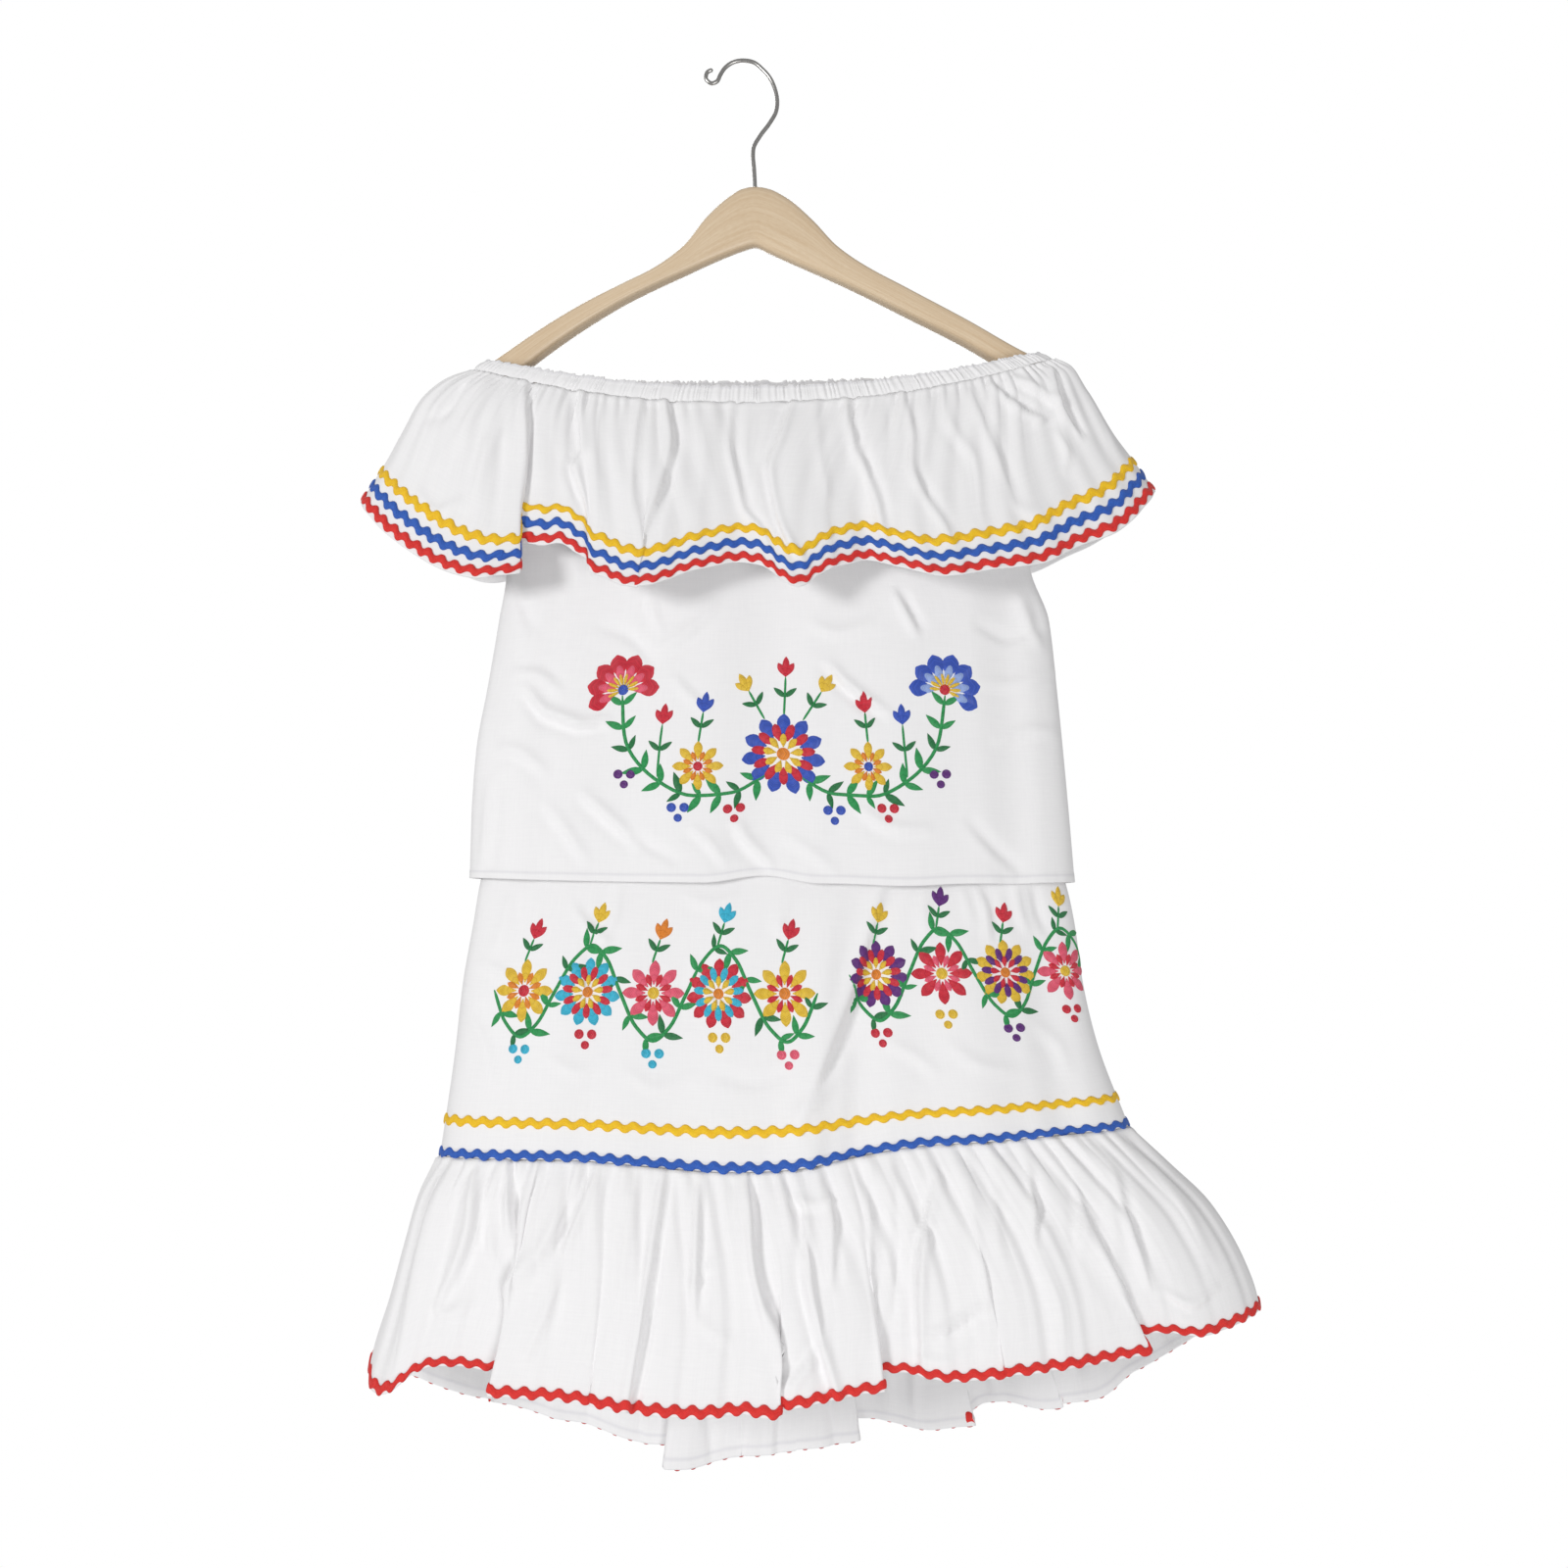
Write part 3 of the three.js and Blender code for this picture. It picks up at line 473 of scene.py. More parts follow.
@dataclass(frozen=True)
class Wall:
    """Thickness of a cloth wall: the single cloth, and the turned-up hem at its lower edge."""

    thick: float = 0.6
    hem_thick: float = 1.0
    hem_height: float = 0.0

    def half(self, patch: Patch) -> Array:
        """Half of the wall's thickness over a patch; it closes at both side seams."""
        above = patch.down[-1] - patch.down
        hem = clamp01((self.hem_height - above) / 1.2) if self.hem_height else np.zeros_like(above)
        across = np.minimum(np.arange(len(patch.points)), np.arange(len(patch.points))[::-1])
        closed = np.where(across == 0, 0.0, 1.0)
        return closed[:, None] * (self.thick + (self.hem_thick - self.thick) * hem)[None, :] / 2


def uv_grid(along: Array, across: Array) -> Array:
    """Flat places of a grid in metres, from millimetres along its rows and across its columns."""
    return np.stack(np.broadcast_arrays(along[:, None] * MM, across[None, :] * MM), axis=-1)


def dressed(
    name: str, points: Array, uv: Array, material: bpy.types.Material, node: str,
) -> bpy.types.Object:
    """A closed piece wrapped round a grid of points, which stands for a solid.

    Args:
        name: the piece's name.
        points: (rows, columns, 3) in millimetres; each row is closed, and open ends get a cap.
        uv: (rows, columns, 2) in metres.
        material: its finish.
        node: the solid that it stands for.

    Returns:
        The piece.
    """
    bm = grid_mesh(points, uv)
    bmesh.ops.holes_fill(bm, edges=[edge for edge in bm.edges if edge.is_boundary], sides=0)
    if bm.calc_volume(signed=True) < 0:
        bmesh.ops.reverse_faces(bm, faces=bm.faces)
    made = finished(name, bm, [material])
    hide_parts(node)
    return made


@dataclass
class Piece:
    """A panel with its patch and the object that was made from it."""

    patch: Patch
    made: bpy.types.Object


def panel(node: str, patch: Patch, wall: Wall, cotton: bpy.types.Material) -> Piece:
    """A closed wall of cloth round a patch, down its outer side and up its inner side, which stands for its solid."""
    half = wall.half(patch)
    outer, inner = patch.lifted(half), patch.lifted(-half)
    loop = np.concatenate([outer, inner[:, ::-1], outer[:, :1]], axis=1)
    above = patch.down[-1] - patch.down
    uv = uv_grid(patch.flat_u, np.concatenate([above, above[::-1], above[:1]]))
    return Piece(patch, dressed(node + "_cloth", loop, uv, cotton, node))


# ------------------------------------------------------------------------------------------------ shader parts
class Graph:
    """A small helper round a node tree."""

    def __init__(self, tree: bpy.types.NodeTree) -> None:
        """Keeps the tree."""
        self.tree = tree

    def node(self, kind: str, **values: object) -> bpy.types.Node:
        """Adds a node and sets its properties or inputs.

        Args:
            kind: the node's class name.
            values: properties, or inputs by their name with _ for a blank.

        Returns:
            The node.
        """
        made = self.tree.nodes.new(kind)
        for name, value in values.items():
            if hasattr(made, name):
                setattr(made, name, value)
            else:
                made.inputs[name.replace("_", " ")].default_value = value
        return made

    def link(self, start: bpy.types.NodeSocket, end: bpy.types.NodeSocket) -> None:
        """Joins two sockets."""
        self.tree.links.new(start, end)

    def maths(self, operation: str, first: object, second: object = 0.0, third: object = 0.0) -> bpy.types.NodeSocket:
        """A Math node; each operand is a socket or a number.

        Args:
            operation: the node's operation.
            first: first operand.
            second: second operand.
            third: third operand.

        Returns:
            The result's socket.
        """
        made = self.tree.nodes.new("ShaderNodeMath")
        made.operation = operation
        for place, operand in enumerate((first, second, third)):
            if isinstance(operand, bpy.types.NodeSocket):
                self.link(operand, made.inputs[place])
            else:
                made.inputs[place].default_value = operand
        return made.outputs[0]


def new_group(name: str, inputs: dict[str, tuple[str, object]], outputs: dict[str, str]) -> tuple[Graph, dict, dict]:
    """An empty shader group.

    Args:
        name: the group's name.
        inputs: socket type and default for each input.
        outputs: socket type for each output.

    Returns:
        The graph, the group's input sockets and its output sockets, by name.
    """
    tree = bpy.data.node_groups.new(name, "ShaderNodeTree")
    for label, (kind, default) in inputs.items():
        socket = tree.interface.new_socket(label, in_out="INPUT", socket_type=kind)
        if default is not None:
            socket.default_value = default
    for label, kind in outputs.items():
        tree.interface.new_socket(label, in_out="OUTPUT", socket_type=kind)
    start = tree.nodes.new("NodeGroupInput")
    end = tree.nodes.new("NodeGroupOutput")
    return Graph(tree), {s.name: s for s in start.outputs}, {s.name: s for s in end.inputs}


class Effects:
    """Shader groups that several finishes use."""

    def __init__(self) -> None:
        """Builds the groups once."""
        self.weave = self._weave()
        self.slubs = self._slubs()
        self.stitches = self._stitches()
        self.twist = self._twist()

    @staticmethod
    def _weave() -> bpy.types.NodeTree:
        """Plain weave: threads over and under in two directions, as a height."""
        graph, take, give = new_group(
            "plain_weave",
            {"UV": ("NodeSocketVector", None), "Threads per metre": ("NodeSocketFloat", 2200.0)},
            {"Height": "NodeSocketFloat"},
        )
        parts = graph.node("ShaderNodeSeparateXYZ")
        graph.link(take["UV"], parts.inputs[0])
        turns = graph.maths("MULTIPLY", take["Threads per metre"], math.pi)
        warp = graph.maths("SINE", graph.maths("MULTIPLY", parts.outputs[0], turns))
        weft = graph.maths("SINE", graph.maths("MULTIPLY", parts.outputs[1], turns))
        graph.link(graph.maths("MULTIPLY_ADD", graph.maths("MULTIPLY", warp, weft), 0.5, 0.5), give["Height"])
        return graph.tree

    @staticmethod
    def _slubs() -> bpy.types.NodeTree:
        """Long thin streaks, as a value about one half: the share "Crossing" of them runs across the others."""
        graph, take, give = new_group(
            "yarn_slubs",
            {
                "UV": ("NodeSocketVector", None),
                "Along": ("NodeSocketFloat", 45.0),
                "Across": ("NodeSocketFloat", 900.0),
                "Crossing": ("NodeSocketFloat", 0.5),
            },
            {"Value": "NodeSocketFloat"},
        )
        streaks = []
        for first, second in (("Along", "Across"), ("Across", "Along")):
            scale = graph.node("ShaderNodeCombineXYZ")
            graph.link(take[first], scale.inputs[0])
            graph.link(take[second], scale.inputs[1])
            stretched = graph.node("ShaderNodeVectorMath", operation="MULTIPLY")
            graph.link(take["UV"], stretched.inputs[0])
            graph.link(scale.outputs[0], stretched.inputs[1])
            noise = graph.node("ShaderNodeTexNoise", Scale=1.0, Detail=2.0, Roughness=0.6)
            graph.link(stretched.outputs[0], noise.inputs["Vector"])
            streaks.append(noise.outputs[0])
        apart = graph.maths("SUBTRACT", streaks[1], streaks[0])
        graph.link(graph.maths("MULTIPLY_ADD", apart, take["Crossing"], streaks[0]), give["Value"])
        return graph.tree

    @staticmethod
    def _stitches() -> bpy.types.NodeTree:
        """A row of machine stitches at a height above the hem, as a mask of the thread and of the furrow beside it,
        which the cotton uses for its bump and its painted shade.
        """
        graph, take, give = new_group(
            "stitch_row",
            {
                "UV": ("NodeSocketVector", None),
                "Row height": ("NodeSocketFloat", 0.005),
                "Stitch length": ("NodeSocketFloat", 0.0028),
                "Thread width": ("NodeSocketFloat", 0.00045),
            },
            {"Thread": "NodeSocketFloat", "Furrow": "NodeSocketFloat"},
        )
        parts = graph.node("ShaderNodeSeparateXYZ")
        graph.link(take["UV"], parts.inputs[0])
        away = graph.maths("ABSOLUTE", graph.maths("SUBTRACT", parts.outputs[1], take["Row height"]))
        place = graph.maths("FRACT", graph.maths("DIVIDE", parts.outputs[0], take["Stitch length"]))
        dash = graph.maths("LESS_THAN", graph.maths("ABSOLUTE", graph.maths("SUBTRACT", place, 0.5)), 0.36)
        near = graph.maths("LESS_THAN", away, take["Thread width"])
        graph.link(graph.maths("MULTIPLY", dash, near), give["Thread"])
        furrow = graph.maths("SUBTRACT", 1.0, graph.maths("DIVIDE", away, 0.0016))
        clamped = graph.maths("MAXIMUM", furrow, 0.0)
        graph.link(clamped, give["Furrow"])
        return graph.tree

    @staticmethod
    def _twist() -> bpy.types.NodeTree:
        """Threads that lie side by side at a slant, as a height."""
        graph, take, give = new_group(
            "laid_threads",
            {
                "UV": ("NodeSocketVector", None),
                "Threads per metre": ("NodeSocketFloat", 2200.0),
                "Slant": ("NodeSocketFloat", 0.5),
            },
            {"Height": "NodeSocketFloat", "Tone": "NodeSocketFloat"},
        )
        parts = graph.node("ShaderNodeSeparateXYZ")
        graph.link(take["UV"], parts.inputs[0])
        slanted = graph.maths("MULTIPLY", graph.maths("ABSOLUTE", parts.outputs[1]), take["Slant"])
        count = graph.maths("MULTIPLY", graph.maths("ADD", parts.outputs[0], slanted), take["Threads per metre"])
        wave = graph.maths("SINE", graph.maths("MULTIPLY", count, 2 * math.pi))
        graph.link(graph.maths("MULTIPLY_ADD", wave, 0.5, 0.5), give["Height"])
        which = graph.maths("FLOOR", graph.maths("ADD", count, 0.25))
        noise = graph.node("ShaderNodeTexWhiteNoise", noise_dimensions="1D")
        graph.link(which, noise.inputs["W"])
        graph.link(noise.outputs["Value"], give["Tone"])
        return graph.tree


@dataclass(frozen=True)
class Finish:
    """What every finish has: a name and the shared effects it is made with."""

    name: str
    effects: Effects

    def start(self) -> tuple[bpy.types.Material, Graph, bpy.types.Node, bpy.types.NodeSocket]:
        """A new material with its shader and the piece's own UV map."""
        material = bpy.data.materials.new(self.name)
        material.use_nodes = True
        graph = Graph(material.node_tree)
        shader = material.node_tree.nodes["Principled BSDF"]
        uv = graph.node("ShaderNodeUVMap", uv_map="cloth")
        return material, graph, shader, uv.outputs[0]

    def use(
        self, graph: Graph, group: bpy.types.NodeTree, uv: bpy.types.NodeSocket, **values: float,
    ) -> bpy.types.Node:
        """Places a shared effect and gives it its values."""
        made = graph.node("ShaderNodeGroup", node_tree=group)
        graph.link(uv, made.inputs["UV"])
        for name, value in values.items():
            made.inputs[name.replace("_", " ")].default_value = value
        return made

    def ramp(self, graph: Graph, value: bpy.types.NodeSocket, low: Sequence[float], high: Sequence[float]) -> object:
        """A colour that runs between two colours with a value, from 0.3 to 0.7."""
        made = graph.node("ShaderNodeValToRGB")
        made.color_ramp.elements[0].position = 0.3
        made.color_ramp.elements[1].position = 0.7
        made.color_ramp.elements[0].color = (*low, 1)
        made.color_ramp.elements[1].color = (*high, 1)
        graph.link(value, made.inputs[0])
        return made.outputs[0]

    def dress(
        self, graph: Graph, shader: bpy.types.Node, colour: bpy.types.NodeSocket, rough: bpy.types.NodeSocket,
        height: bpy.types.NodeSocket, bump: tuple[float, float], **values: float,
    ) -> None:
        """Joins a finish to its shader.

        Args:
            graph: the material's nodes.
            shader: its shader.
            colour: its colour.
            rough: its roughness.
            height: its fine relief.
            bump: the relief's strength, and its distance in metres.
            values: the shader's other inputs by their name, with _ for a blank.
        """
        relief = graph.node("ShaderNodeBump", Strength=bump[0], Distance=bump[1])
        graph.link(height, relief.inputs["Height"])
        graph.link(relief.outputs[0], shader.inputs["Normal"])
        graph.link(colour, shader.inputs["Base Color"])
        graph.link(rough, shader.inputs["Roughness"])
        for name, value in values.items():
            shader.inputs[name.replace("_", " ")].default_value = value


@dataclass(frozen=True)
class Cotton(Finish):
    """White plain-woven cotton with slubs, a soft sheen and a topstitched hem, with painted shade in its stitch
    furrow.
    """

    shade: tuple[float, float, float] = (0.89, 0.882, 0.89)
    light: tuple[float, float, float] = (0.935, 0.928, 0.932)
    stitch_height: float = 0.005

    def build(self) -> bpy.types.Material:
        """The material."""
        material, graph, shader, uv = self.start()
        slubs = self.use(graph, self.effects.slubs, uv)
        weave = self.use(graph, self.effects.weave, uv)
        row = self.use(graph, self.effects.stitches, uv, Row_height=self.stitch_height)
        colour = self.ramp(graph, slubs.outputs[0], self.shade, self.light)
        # Painted shade: the colour is mixed towards grey-lavender along the furrow of the stitch row.
        furrow_shaded = graph.node("ShaderNodeMix", data_type="RGBA")
        graph.link(graph.maths("MULTIPLY", row.outputs["Furrow"], 0.35), furrow_shaded.inputs[0])
        graph.link(colour, furrow_shaded.inputs[6])
        furrow_shaded.inputs[7].default_value = (0.66, 0.65, 0.70, 1)
        fine = graph.maths("MULTIPLY", weave.outputs[0], 0.10)
        height = graph.maths("MULTIPLY_ADD", slubs.outputs[0], 0.3, fine)
        height = graph.maths("MULTIPLY_ADD", row.outputs["Furrow"], -0.9, height)
        height = graph.maths("MULTIPLY_ADD", row.outputs["Thread"], 1.4, height)
        rough = graph.maths("MULTIPLY_ADD", slubs.outputs[0], 0.12, 0.72)
        self.dress(
            graph, shader, furrow_shaded.outputs[2], rough, height, (0.35, 0.00025),
            Sheen_Weight=0.18, Sheen_Roughness=0.45, Specular_IOR_Level=0.25,
        )
        return material


@dataclass(frozen=True)
class Braid(Finish):
    """Ric-rac braid: a smooth dyed yarn plaited at a slant, with painted highlight on its raised threads and painted
    shade in the grooves.
    """

    # dark is the colour in the grooves (painted shade) and light the colour on the raised threads (painted
    # highlight), mixed with a random tone per thread.
    dark: tuple[float, float, float] = (0.5, 0.5, 0.5)
    light: tuple[float, float, float] = (0.6, 0.6, 0.6)

    def build(self) -> bpy.types.Material:
        """The material."""
        material, graph, shader, uv = self.start()
        plait = self.use(graph, self.effects.twist, uv, Threads_per_metre=1300.0, Slant=1.0)
        # Colour: a random tone for each thread, plus painted highlight on the raised threads and painted shade in the
        # grooves between them.
        tone = graph.maths("MULTIPLY_ADD", plait.outputs["Tone"], 0.3, graph.maths("MULTIPLY", plait.outputs[0], 0.6))
        rough = graph.maths("MULTIPLY_ADD", plait.outputs["Tone"], 0.15, 0.5)
        self.dress(
            graph, shader, self.ramp(graph, tone, self.dark, self.light), rough, plait.outputs[0], (0.5, 0.0003),
            Sheen_Weight=0.12, Specular_IOR_Level=0.35,
        )
        return material


@dataclass(frozen=True)
class Thread(Finish):
    """Glossy embroidery thread laid in satin stitch, with painted highlight on its raised threads and painted shade
    in the grooves.
    """

    colour: tuple[float, float, float] = (0.5, 0.5, 0.5)

    def build(self) -> bpy.types.Material:
        """The material."""
        material, graph, shader, uv = self.start()
        laid = self.use(graph, self.effects.twist, uv, Threads_per_metre=1900.0, Slant=0.6)
        # Colour: a random tone for each thread, plus painted highlight on the raised threads and painted shade in the
        # grooves; dark and light are shaded and lit copies of the dye.
        tone = graph.maths("MULTIPLY_ADD", laid.outputs["Tone"], 0.5, graph.maths("MULTIPLY", laid.outputs[0], 0.5))
        dark = tuple(0.78 * c for c in self.colour)
        light = tuple(min(1.0, 1.28 * c + 0.02) for c in self.colour)
        rough = graph.maths("MULTIPLY_ADD", laid.outputs["Tone"], 0.15, 0.34)
        self.dress(
            graph, shader, self.ramp(graph, tone, dark, light), rough, laid.outputs[0], (0.6, 0.00025),
            Sheen_Weight=0.1, Specular_IOR_Level=0.45,
        )
        return material


@dataclass(frozen=True)
class Beech(Finish):
    """Pale lacquered beech: fine grain along the arm, short flecks and broad changes of tone."""

    shade: tuple[float, float, float] = (0.64, 0.46, 0.28)
    light: tuple[float, float, float] = (0.84, 0.69, 0.50)

    def build(self) -> bpy.types.Material:
        """The material."""
        material, graph, shader, uv = self.start()
        grain = self.use(graph, self.effects.slubs, uv, Along=14.0, Across=620.0, Crossing=0.0)
        flecks = self.use(graph, self.effects.slubs, uv, Along=260.0, Across=1500.0, Crossing=0.0)
        wide = graph.node("ShaderNodeTexNoise", Scale=9.0, Detail=3.0)
        graph.link(uv, wide.inputs["Vector"])
        tone = graph.maths("MULTIPLY_ADD", flecks.outputs[0], 0.25, graph.maths("MULTIPLY", grain.outputs[0], 0.5))
        tone = graph.maths("MULTIPLY_ADD", wide.outputs[0], 0.25, tone)
        rough = graph.maths("MULTIPLY_ADD", tone, 0.2, 0.3)
        self.dress(
            graph, shader, self.ramp(graph, tone, self.shade, self.light), rough, tone, (0.12, 0.0002),
            Coat_Weight=0.2, Coat_Roughness=0.3,
        )
        return material


@dataclass(frozen=True)
class Nickel(Finish):
    """Nickel-plated wire with fine drawing marks along it."""

    def build(self) -> bpy.types.Material:
        """The material."""
        material, graph, shader, uv = self.start()
        marks = self.use(graph, self.effects.slubs, uv, Along=60.0, Across=2600.0)
        colour = self.ramp(graph, marks.outputs[0], (0.36, 0.35, 0.34), (0.60, 0.59, 0.57))
        rough = graph.maths("MULTIPLY_ADD", marks.outputs[0], 0.25, 0.14)
        self.dress(graph, shader, colour, rough, marks.outputs[0], (0.15, 0.0001), Metallic=1.0)
        return material


# ------------------------------------------------------------------------------------------------ embroidery
class Dye(Enum):
    """Thread colours of the embroidery."""

    LEAF = (0.012, 0.30, 0.075)
    DEEP_GREEN = (0.006, 0.17, 0.045)
    RED = (0.62, 0.012, 0.035)
    PINK = (0.86, 0.10, 0.17)
    BLUE = (0.028, 0.085, 0.50)
    PALE_BLUE = (0.30, 0.42, 0.80)
    TURQUOISE = (0.03, 0.46, 0.66)
    YELLOW = (0.86, 0.52, 0.03)
    ORANGE = (0.80, 0.23, 0.015)
    PURPLE = (0.11, 0.012, 0.19)


@dataclass
class StitchBook:
    """Embroidery on a patch of cloth; places are millimetres across from the front's middle and down the cloth."""

    name: str
    patch: Patch
    cloth_half: float
    middle: float
    bm: bmesh.types.BMesh = field(default_factory=bmesh.new)

    def __post_init__(self) -> None:
        """Measures the cloth across, at the height of the embroidery."""
        row = int(np.argmin(np.abs(self.patch.down - self.middle)))
        line = self.patch.points[:, row]
        self.lengths = path_lengths(line)
        self.lengths -= np.interp(0.0, line[:, 0], self.lengths)
        self.layer = self.bm.loops.layers.uv.new("cloth")
        self.dyes = list(Dye)

    def lay(self, across: Array, down: Array, height: Array, uv: Array, dye: Dye) -> None:
        """Lays one filled shape on the cloth.

        Args:
            across: places across, a grid.
            down: places down the cloth, a grid.
            height: how far the thread stands out.
            uv: along and across the threads, in millimetres.
            dye: the thread's colour.
        """
        rows, columns = across.shape
        column = np.interp(across, self.lengths, np.arange(len(self.lengths)))
        points = (self.patch.place(column, down, height + self.cloth_half) * MM).tolist()
        flat = (uv * MM).tolist()
        made = bmesh.ops.create_grid(self.bm, x_segments=rows - 1, y_segments=columns - 1, size=1.0)["verts"]
        place = {}
        for vertex in made:
            i = round((vertex.co.x + 1) / 2 * (rows - 1))
            j = round((vertex.co.y + 1) / 2 * (columns - 1))
            place[vertex] = (i, j)
        faces = {face for vertex in made for face in vertex.link_faces}
        index = self.dyes.index(dye)
        for face in faces:
            face.smooth = True
            face.material_index = index
            for loop in face.loops:
                i, j = place[loop.vert]
                loop[self.layer].uv = flat[i][j]
        for vertex, (i, j) in place.items():
            vertex.co = points[i][j]

    def petal(
        self, x: float, y: float, turn: float, length: float, width: float, dye: Dye,
        fullest: float = 0.6, lift: float = 0.75, tip: float = 0.75, rows: int = 8, columns: int = 6,
    ) -> None:
        """A petal or leaf in satin stitch.

        Args:
            x: place of its foot across.
            y: place of its foot, in millimetres above the garment's own height mark (down is negative).
            turn: direction in degrees, 0 to the right and 90 up.
            length: length.
            width: greatest width.
            dye: thread colour.
            fullest: where along it is widest, from 0 to 1.
            lift: how far its middle stands out.
            tip: under 1 its ends are blunt, above 1 pointed.
            rows: steps along.
            columns: steps across.
        """
        t = np.linspace(0, 1, rows + 1)[:, None]
        v = np.linspace(-1, 1, columns + 1)[None, :]
        bent = t ** (math.log(0.5) / math.log(fullest))
        half = width / 2 * np.sin(np.pi * clamp01(0.015 + 0.97 * bent)) ** tip
        along = t * length + 0 * v
        side = half * v
        angle = math.radians(turn)
        across = x + along * math.cos(angle) - side * math.sin(angle)
        up = y + along * math.sin(angle) + side * math.cos(angle)
        full = np.sqrt(np.maximum(0.0, 1 - v**2)) * np.minimum(1.0, half / (width * 0.28)) ** 0.6
        self.lay(across, -up, 0.04 + lift * full, np.stack([along, side], axis=-1), dye)

    def stem(self, line: Sequence[tuple[float, float]], width: float, dye: Dye, lift: float = 0.55) -> None:
        """A line of slanting stitches through a few places."""
        points = np.asarray(line, float)
        knots = np.arange(len(points), dtype=float)
        steps = max(6, int(6 * (len(points) - 1)))
        wanted = np.linspace(0, len(points) - 1, steps + 1)
        x = through(knots, points[:, 0], wanted)
        y = through(knots, points[:, 1], wanted)
        dx, dy = np.gradient(x), np.gradient(y)
        size = np.maximum(np.hypot(dx, dy), 1e-6)
        v = np.linspace(-1, 1, 5)[None, :]
        taper = np.minimum(1.0, np.minimum(wanted, wanted[::-1]) * 3 + 0.35)[:, None]
        side = v * width / 2 * taper
        across = x[:, None] - side * (dy / size)[:, None]
        up = y[:, None] + side * (dx / size)[:, None]
        along = path_lengths(np.stack([x, y], axis=-1))[:, None] + 0 * v
        height = 0.04 + lift * np.sqrt(np.maximum(0.0, 1 - v**2)) * taper
        self.lay(across, -up, height, np.stack([along, side + width], axis=-1), dye)

    def knot(self, x: float, y: float, radius: float, dye: Dye, lift: float = 0.9) -> None:
        """A round padded dot, with its stitches round the middle."""
        r = np.linspace(0.04, 1, 5)[:, None]
        a = np.linspace(0, 2 * np.pi, 15)[None, :]
        across = x + radius * r * np.cos(a)
        up = y + radius * r * np.sin(a)
        height = 0.04 + lift * np.sqrt(np.maximum(0.0, 1 - r**2)) + 0 * a
        uv = np.stack([radius * np.cos(a) * r, radius * r * np.sin(a)], axis=-1)
        self.lay(across, -up, height, uv, dye)

    def flower(
        self, x: float, y: float, rings: Sequence[tuple[int, float, float, float, Dye]], core: tuple[float, Dye],
        start: float = 90.0, spread: float = 360.0,
    ) -> None:
        """A flower of rings of petals.

        Args:
            x: middle across.
            y: middle, upwards.
            rings: petals, inner radius, length, width and dye of each ring, the outer ring first.
            core: radius and dye of its middle.
            start: direction of the first petal, or of the fan's middle.
            spread: angle that the petals cover.
        """
        for level, (count, inner, length, width, dye) in enumerate(rings):
            for k in range(count):
                if spread >= 360:
                    turn = start + 360 / count * (k + 0.5 * (level % 2))
                else:
                    turn = start + spread * (k / (count - 1) - 0.5)
                angle = math.radians(turn)
                self.petal(
                    x + inner * math.cos(angle), y + inner * math.sin(angle), turn, length, width, dye,
                    fullest=0.62, lift=0.6 + 0.32 * level,
                )
        self.knot(x, y, core[0], core[1], lift=1.3)

    def leaf_pairs(
        self, line: Sequence[tuple[float, float]], count: int, length: float, dyes: Sequence[Dye],
        slant: float = 48.0,
    ) -> None:
        """Pairs of leaves along a stem through a few places."""
        points = np.asarray(line, float)
        knots = np.arange(len(points), dtype=float)
        for k in range(count):
            where = (k + 0.6) / count * (len(points) - 1)
            near = np.array([where, where + 0.02])
            x = through(knots, points[:, 0], near)
            y = through(knots, points[:, 1], near)
            heading = math.degrees(math.atan2(y[1] - y[0], x[1] - x[0]))
            for side in (-1, 1):
                size = length * (0.8 + 0.4 * unevenness(7 * k + side + 50))
                turn = heading + side * (slant + 10 * unevenness(3 * k + side))
                place, dye = (float(x[0]), float(y[0])), dyes[k % len(dyes)]
                self.petal(*place, turn, size, size * 0.36, dye, 0.42, 0.5, 1.0, 6, 4)

    def finish(self, threads: Sequence[bpy.types.Material]) -> bpy.types.Object:
        """The embroidery as one object, with the thread outwards."""
        bmesh.ops.remove_doubles(self.bm, verts=self.bm.verts, dist=1e-7)
        for face in self.bm.faces:
            if face.normal.y > 0.25:
                face.normal_flip()
        return finished(self.name, self.bm, threads)


# ------------------------------------------------------------------------------------------------ bands and braids
@dataclass
class Palette:
    """The finishes, built once."""

    cotton: bpy.types.Material
    yellow: bpy.types.Material
    blue: bpy.types.Material
    red: bpy.types.Material
    beech: bpy.types.Material
    nickel: bpy.types.Material
    threads: list[bpy.types.Material]

    @classmethod
    def build(cls) -> "Palette":
        """Builds every finish."""
        effects = Effects()
        return cls(
            cotton=Cotton("white_cotton", effects).build(),
            yellow=Braid("yellow_braid", effects, (0.94, 0.50, 0.008), (1.0, 0.70, 0.02)).build(),
            blue=Braid("blue_braid", effects, (0.018, 0.085, 0.42), (0.04, 0.165, 0.66)).build(),
            red=Braid("red_braid", effects, (0.66, 0.018, 0.014), (0.94, 0.045, 0.036)).build(),
            beech=Beech("pale_beech", effects).build(),
            nickel=Nickel("nickel_wire", effects).build(),
            threads=[Thread("thread_" + dye.name.lower(), effects, dye.value).build() for dye in Dye],
        )


def even_steps(length: float, step: float) -> Array:
    """Distances from 0 to a length in even steps."""
    return np.linspace(0.0, length, max(2, round(length / step)) + 1)


def hem_steps(length: float, step: float, hem: float = 8.0) -> Array:
    """Distances down a cloth with closer steps over its hem."""
    upper = np.linspace(0.0, length - hem, max(2, round((length - hem) / step)) + 1)
    lower = np.linspace(length - hem, length, 9)[1:]
    return np.concatenate([upper, lower])


def crease_sum(creases: Iterable[Crease], x: Array, z: Array, scale: float = 1.0) -> Array:
    """The relief of a table of creases."""
    total = np.zeros_like(x)
    for crease in creases:
        total = total + crease.relief(x, z)
    return scale * total


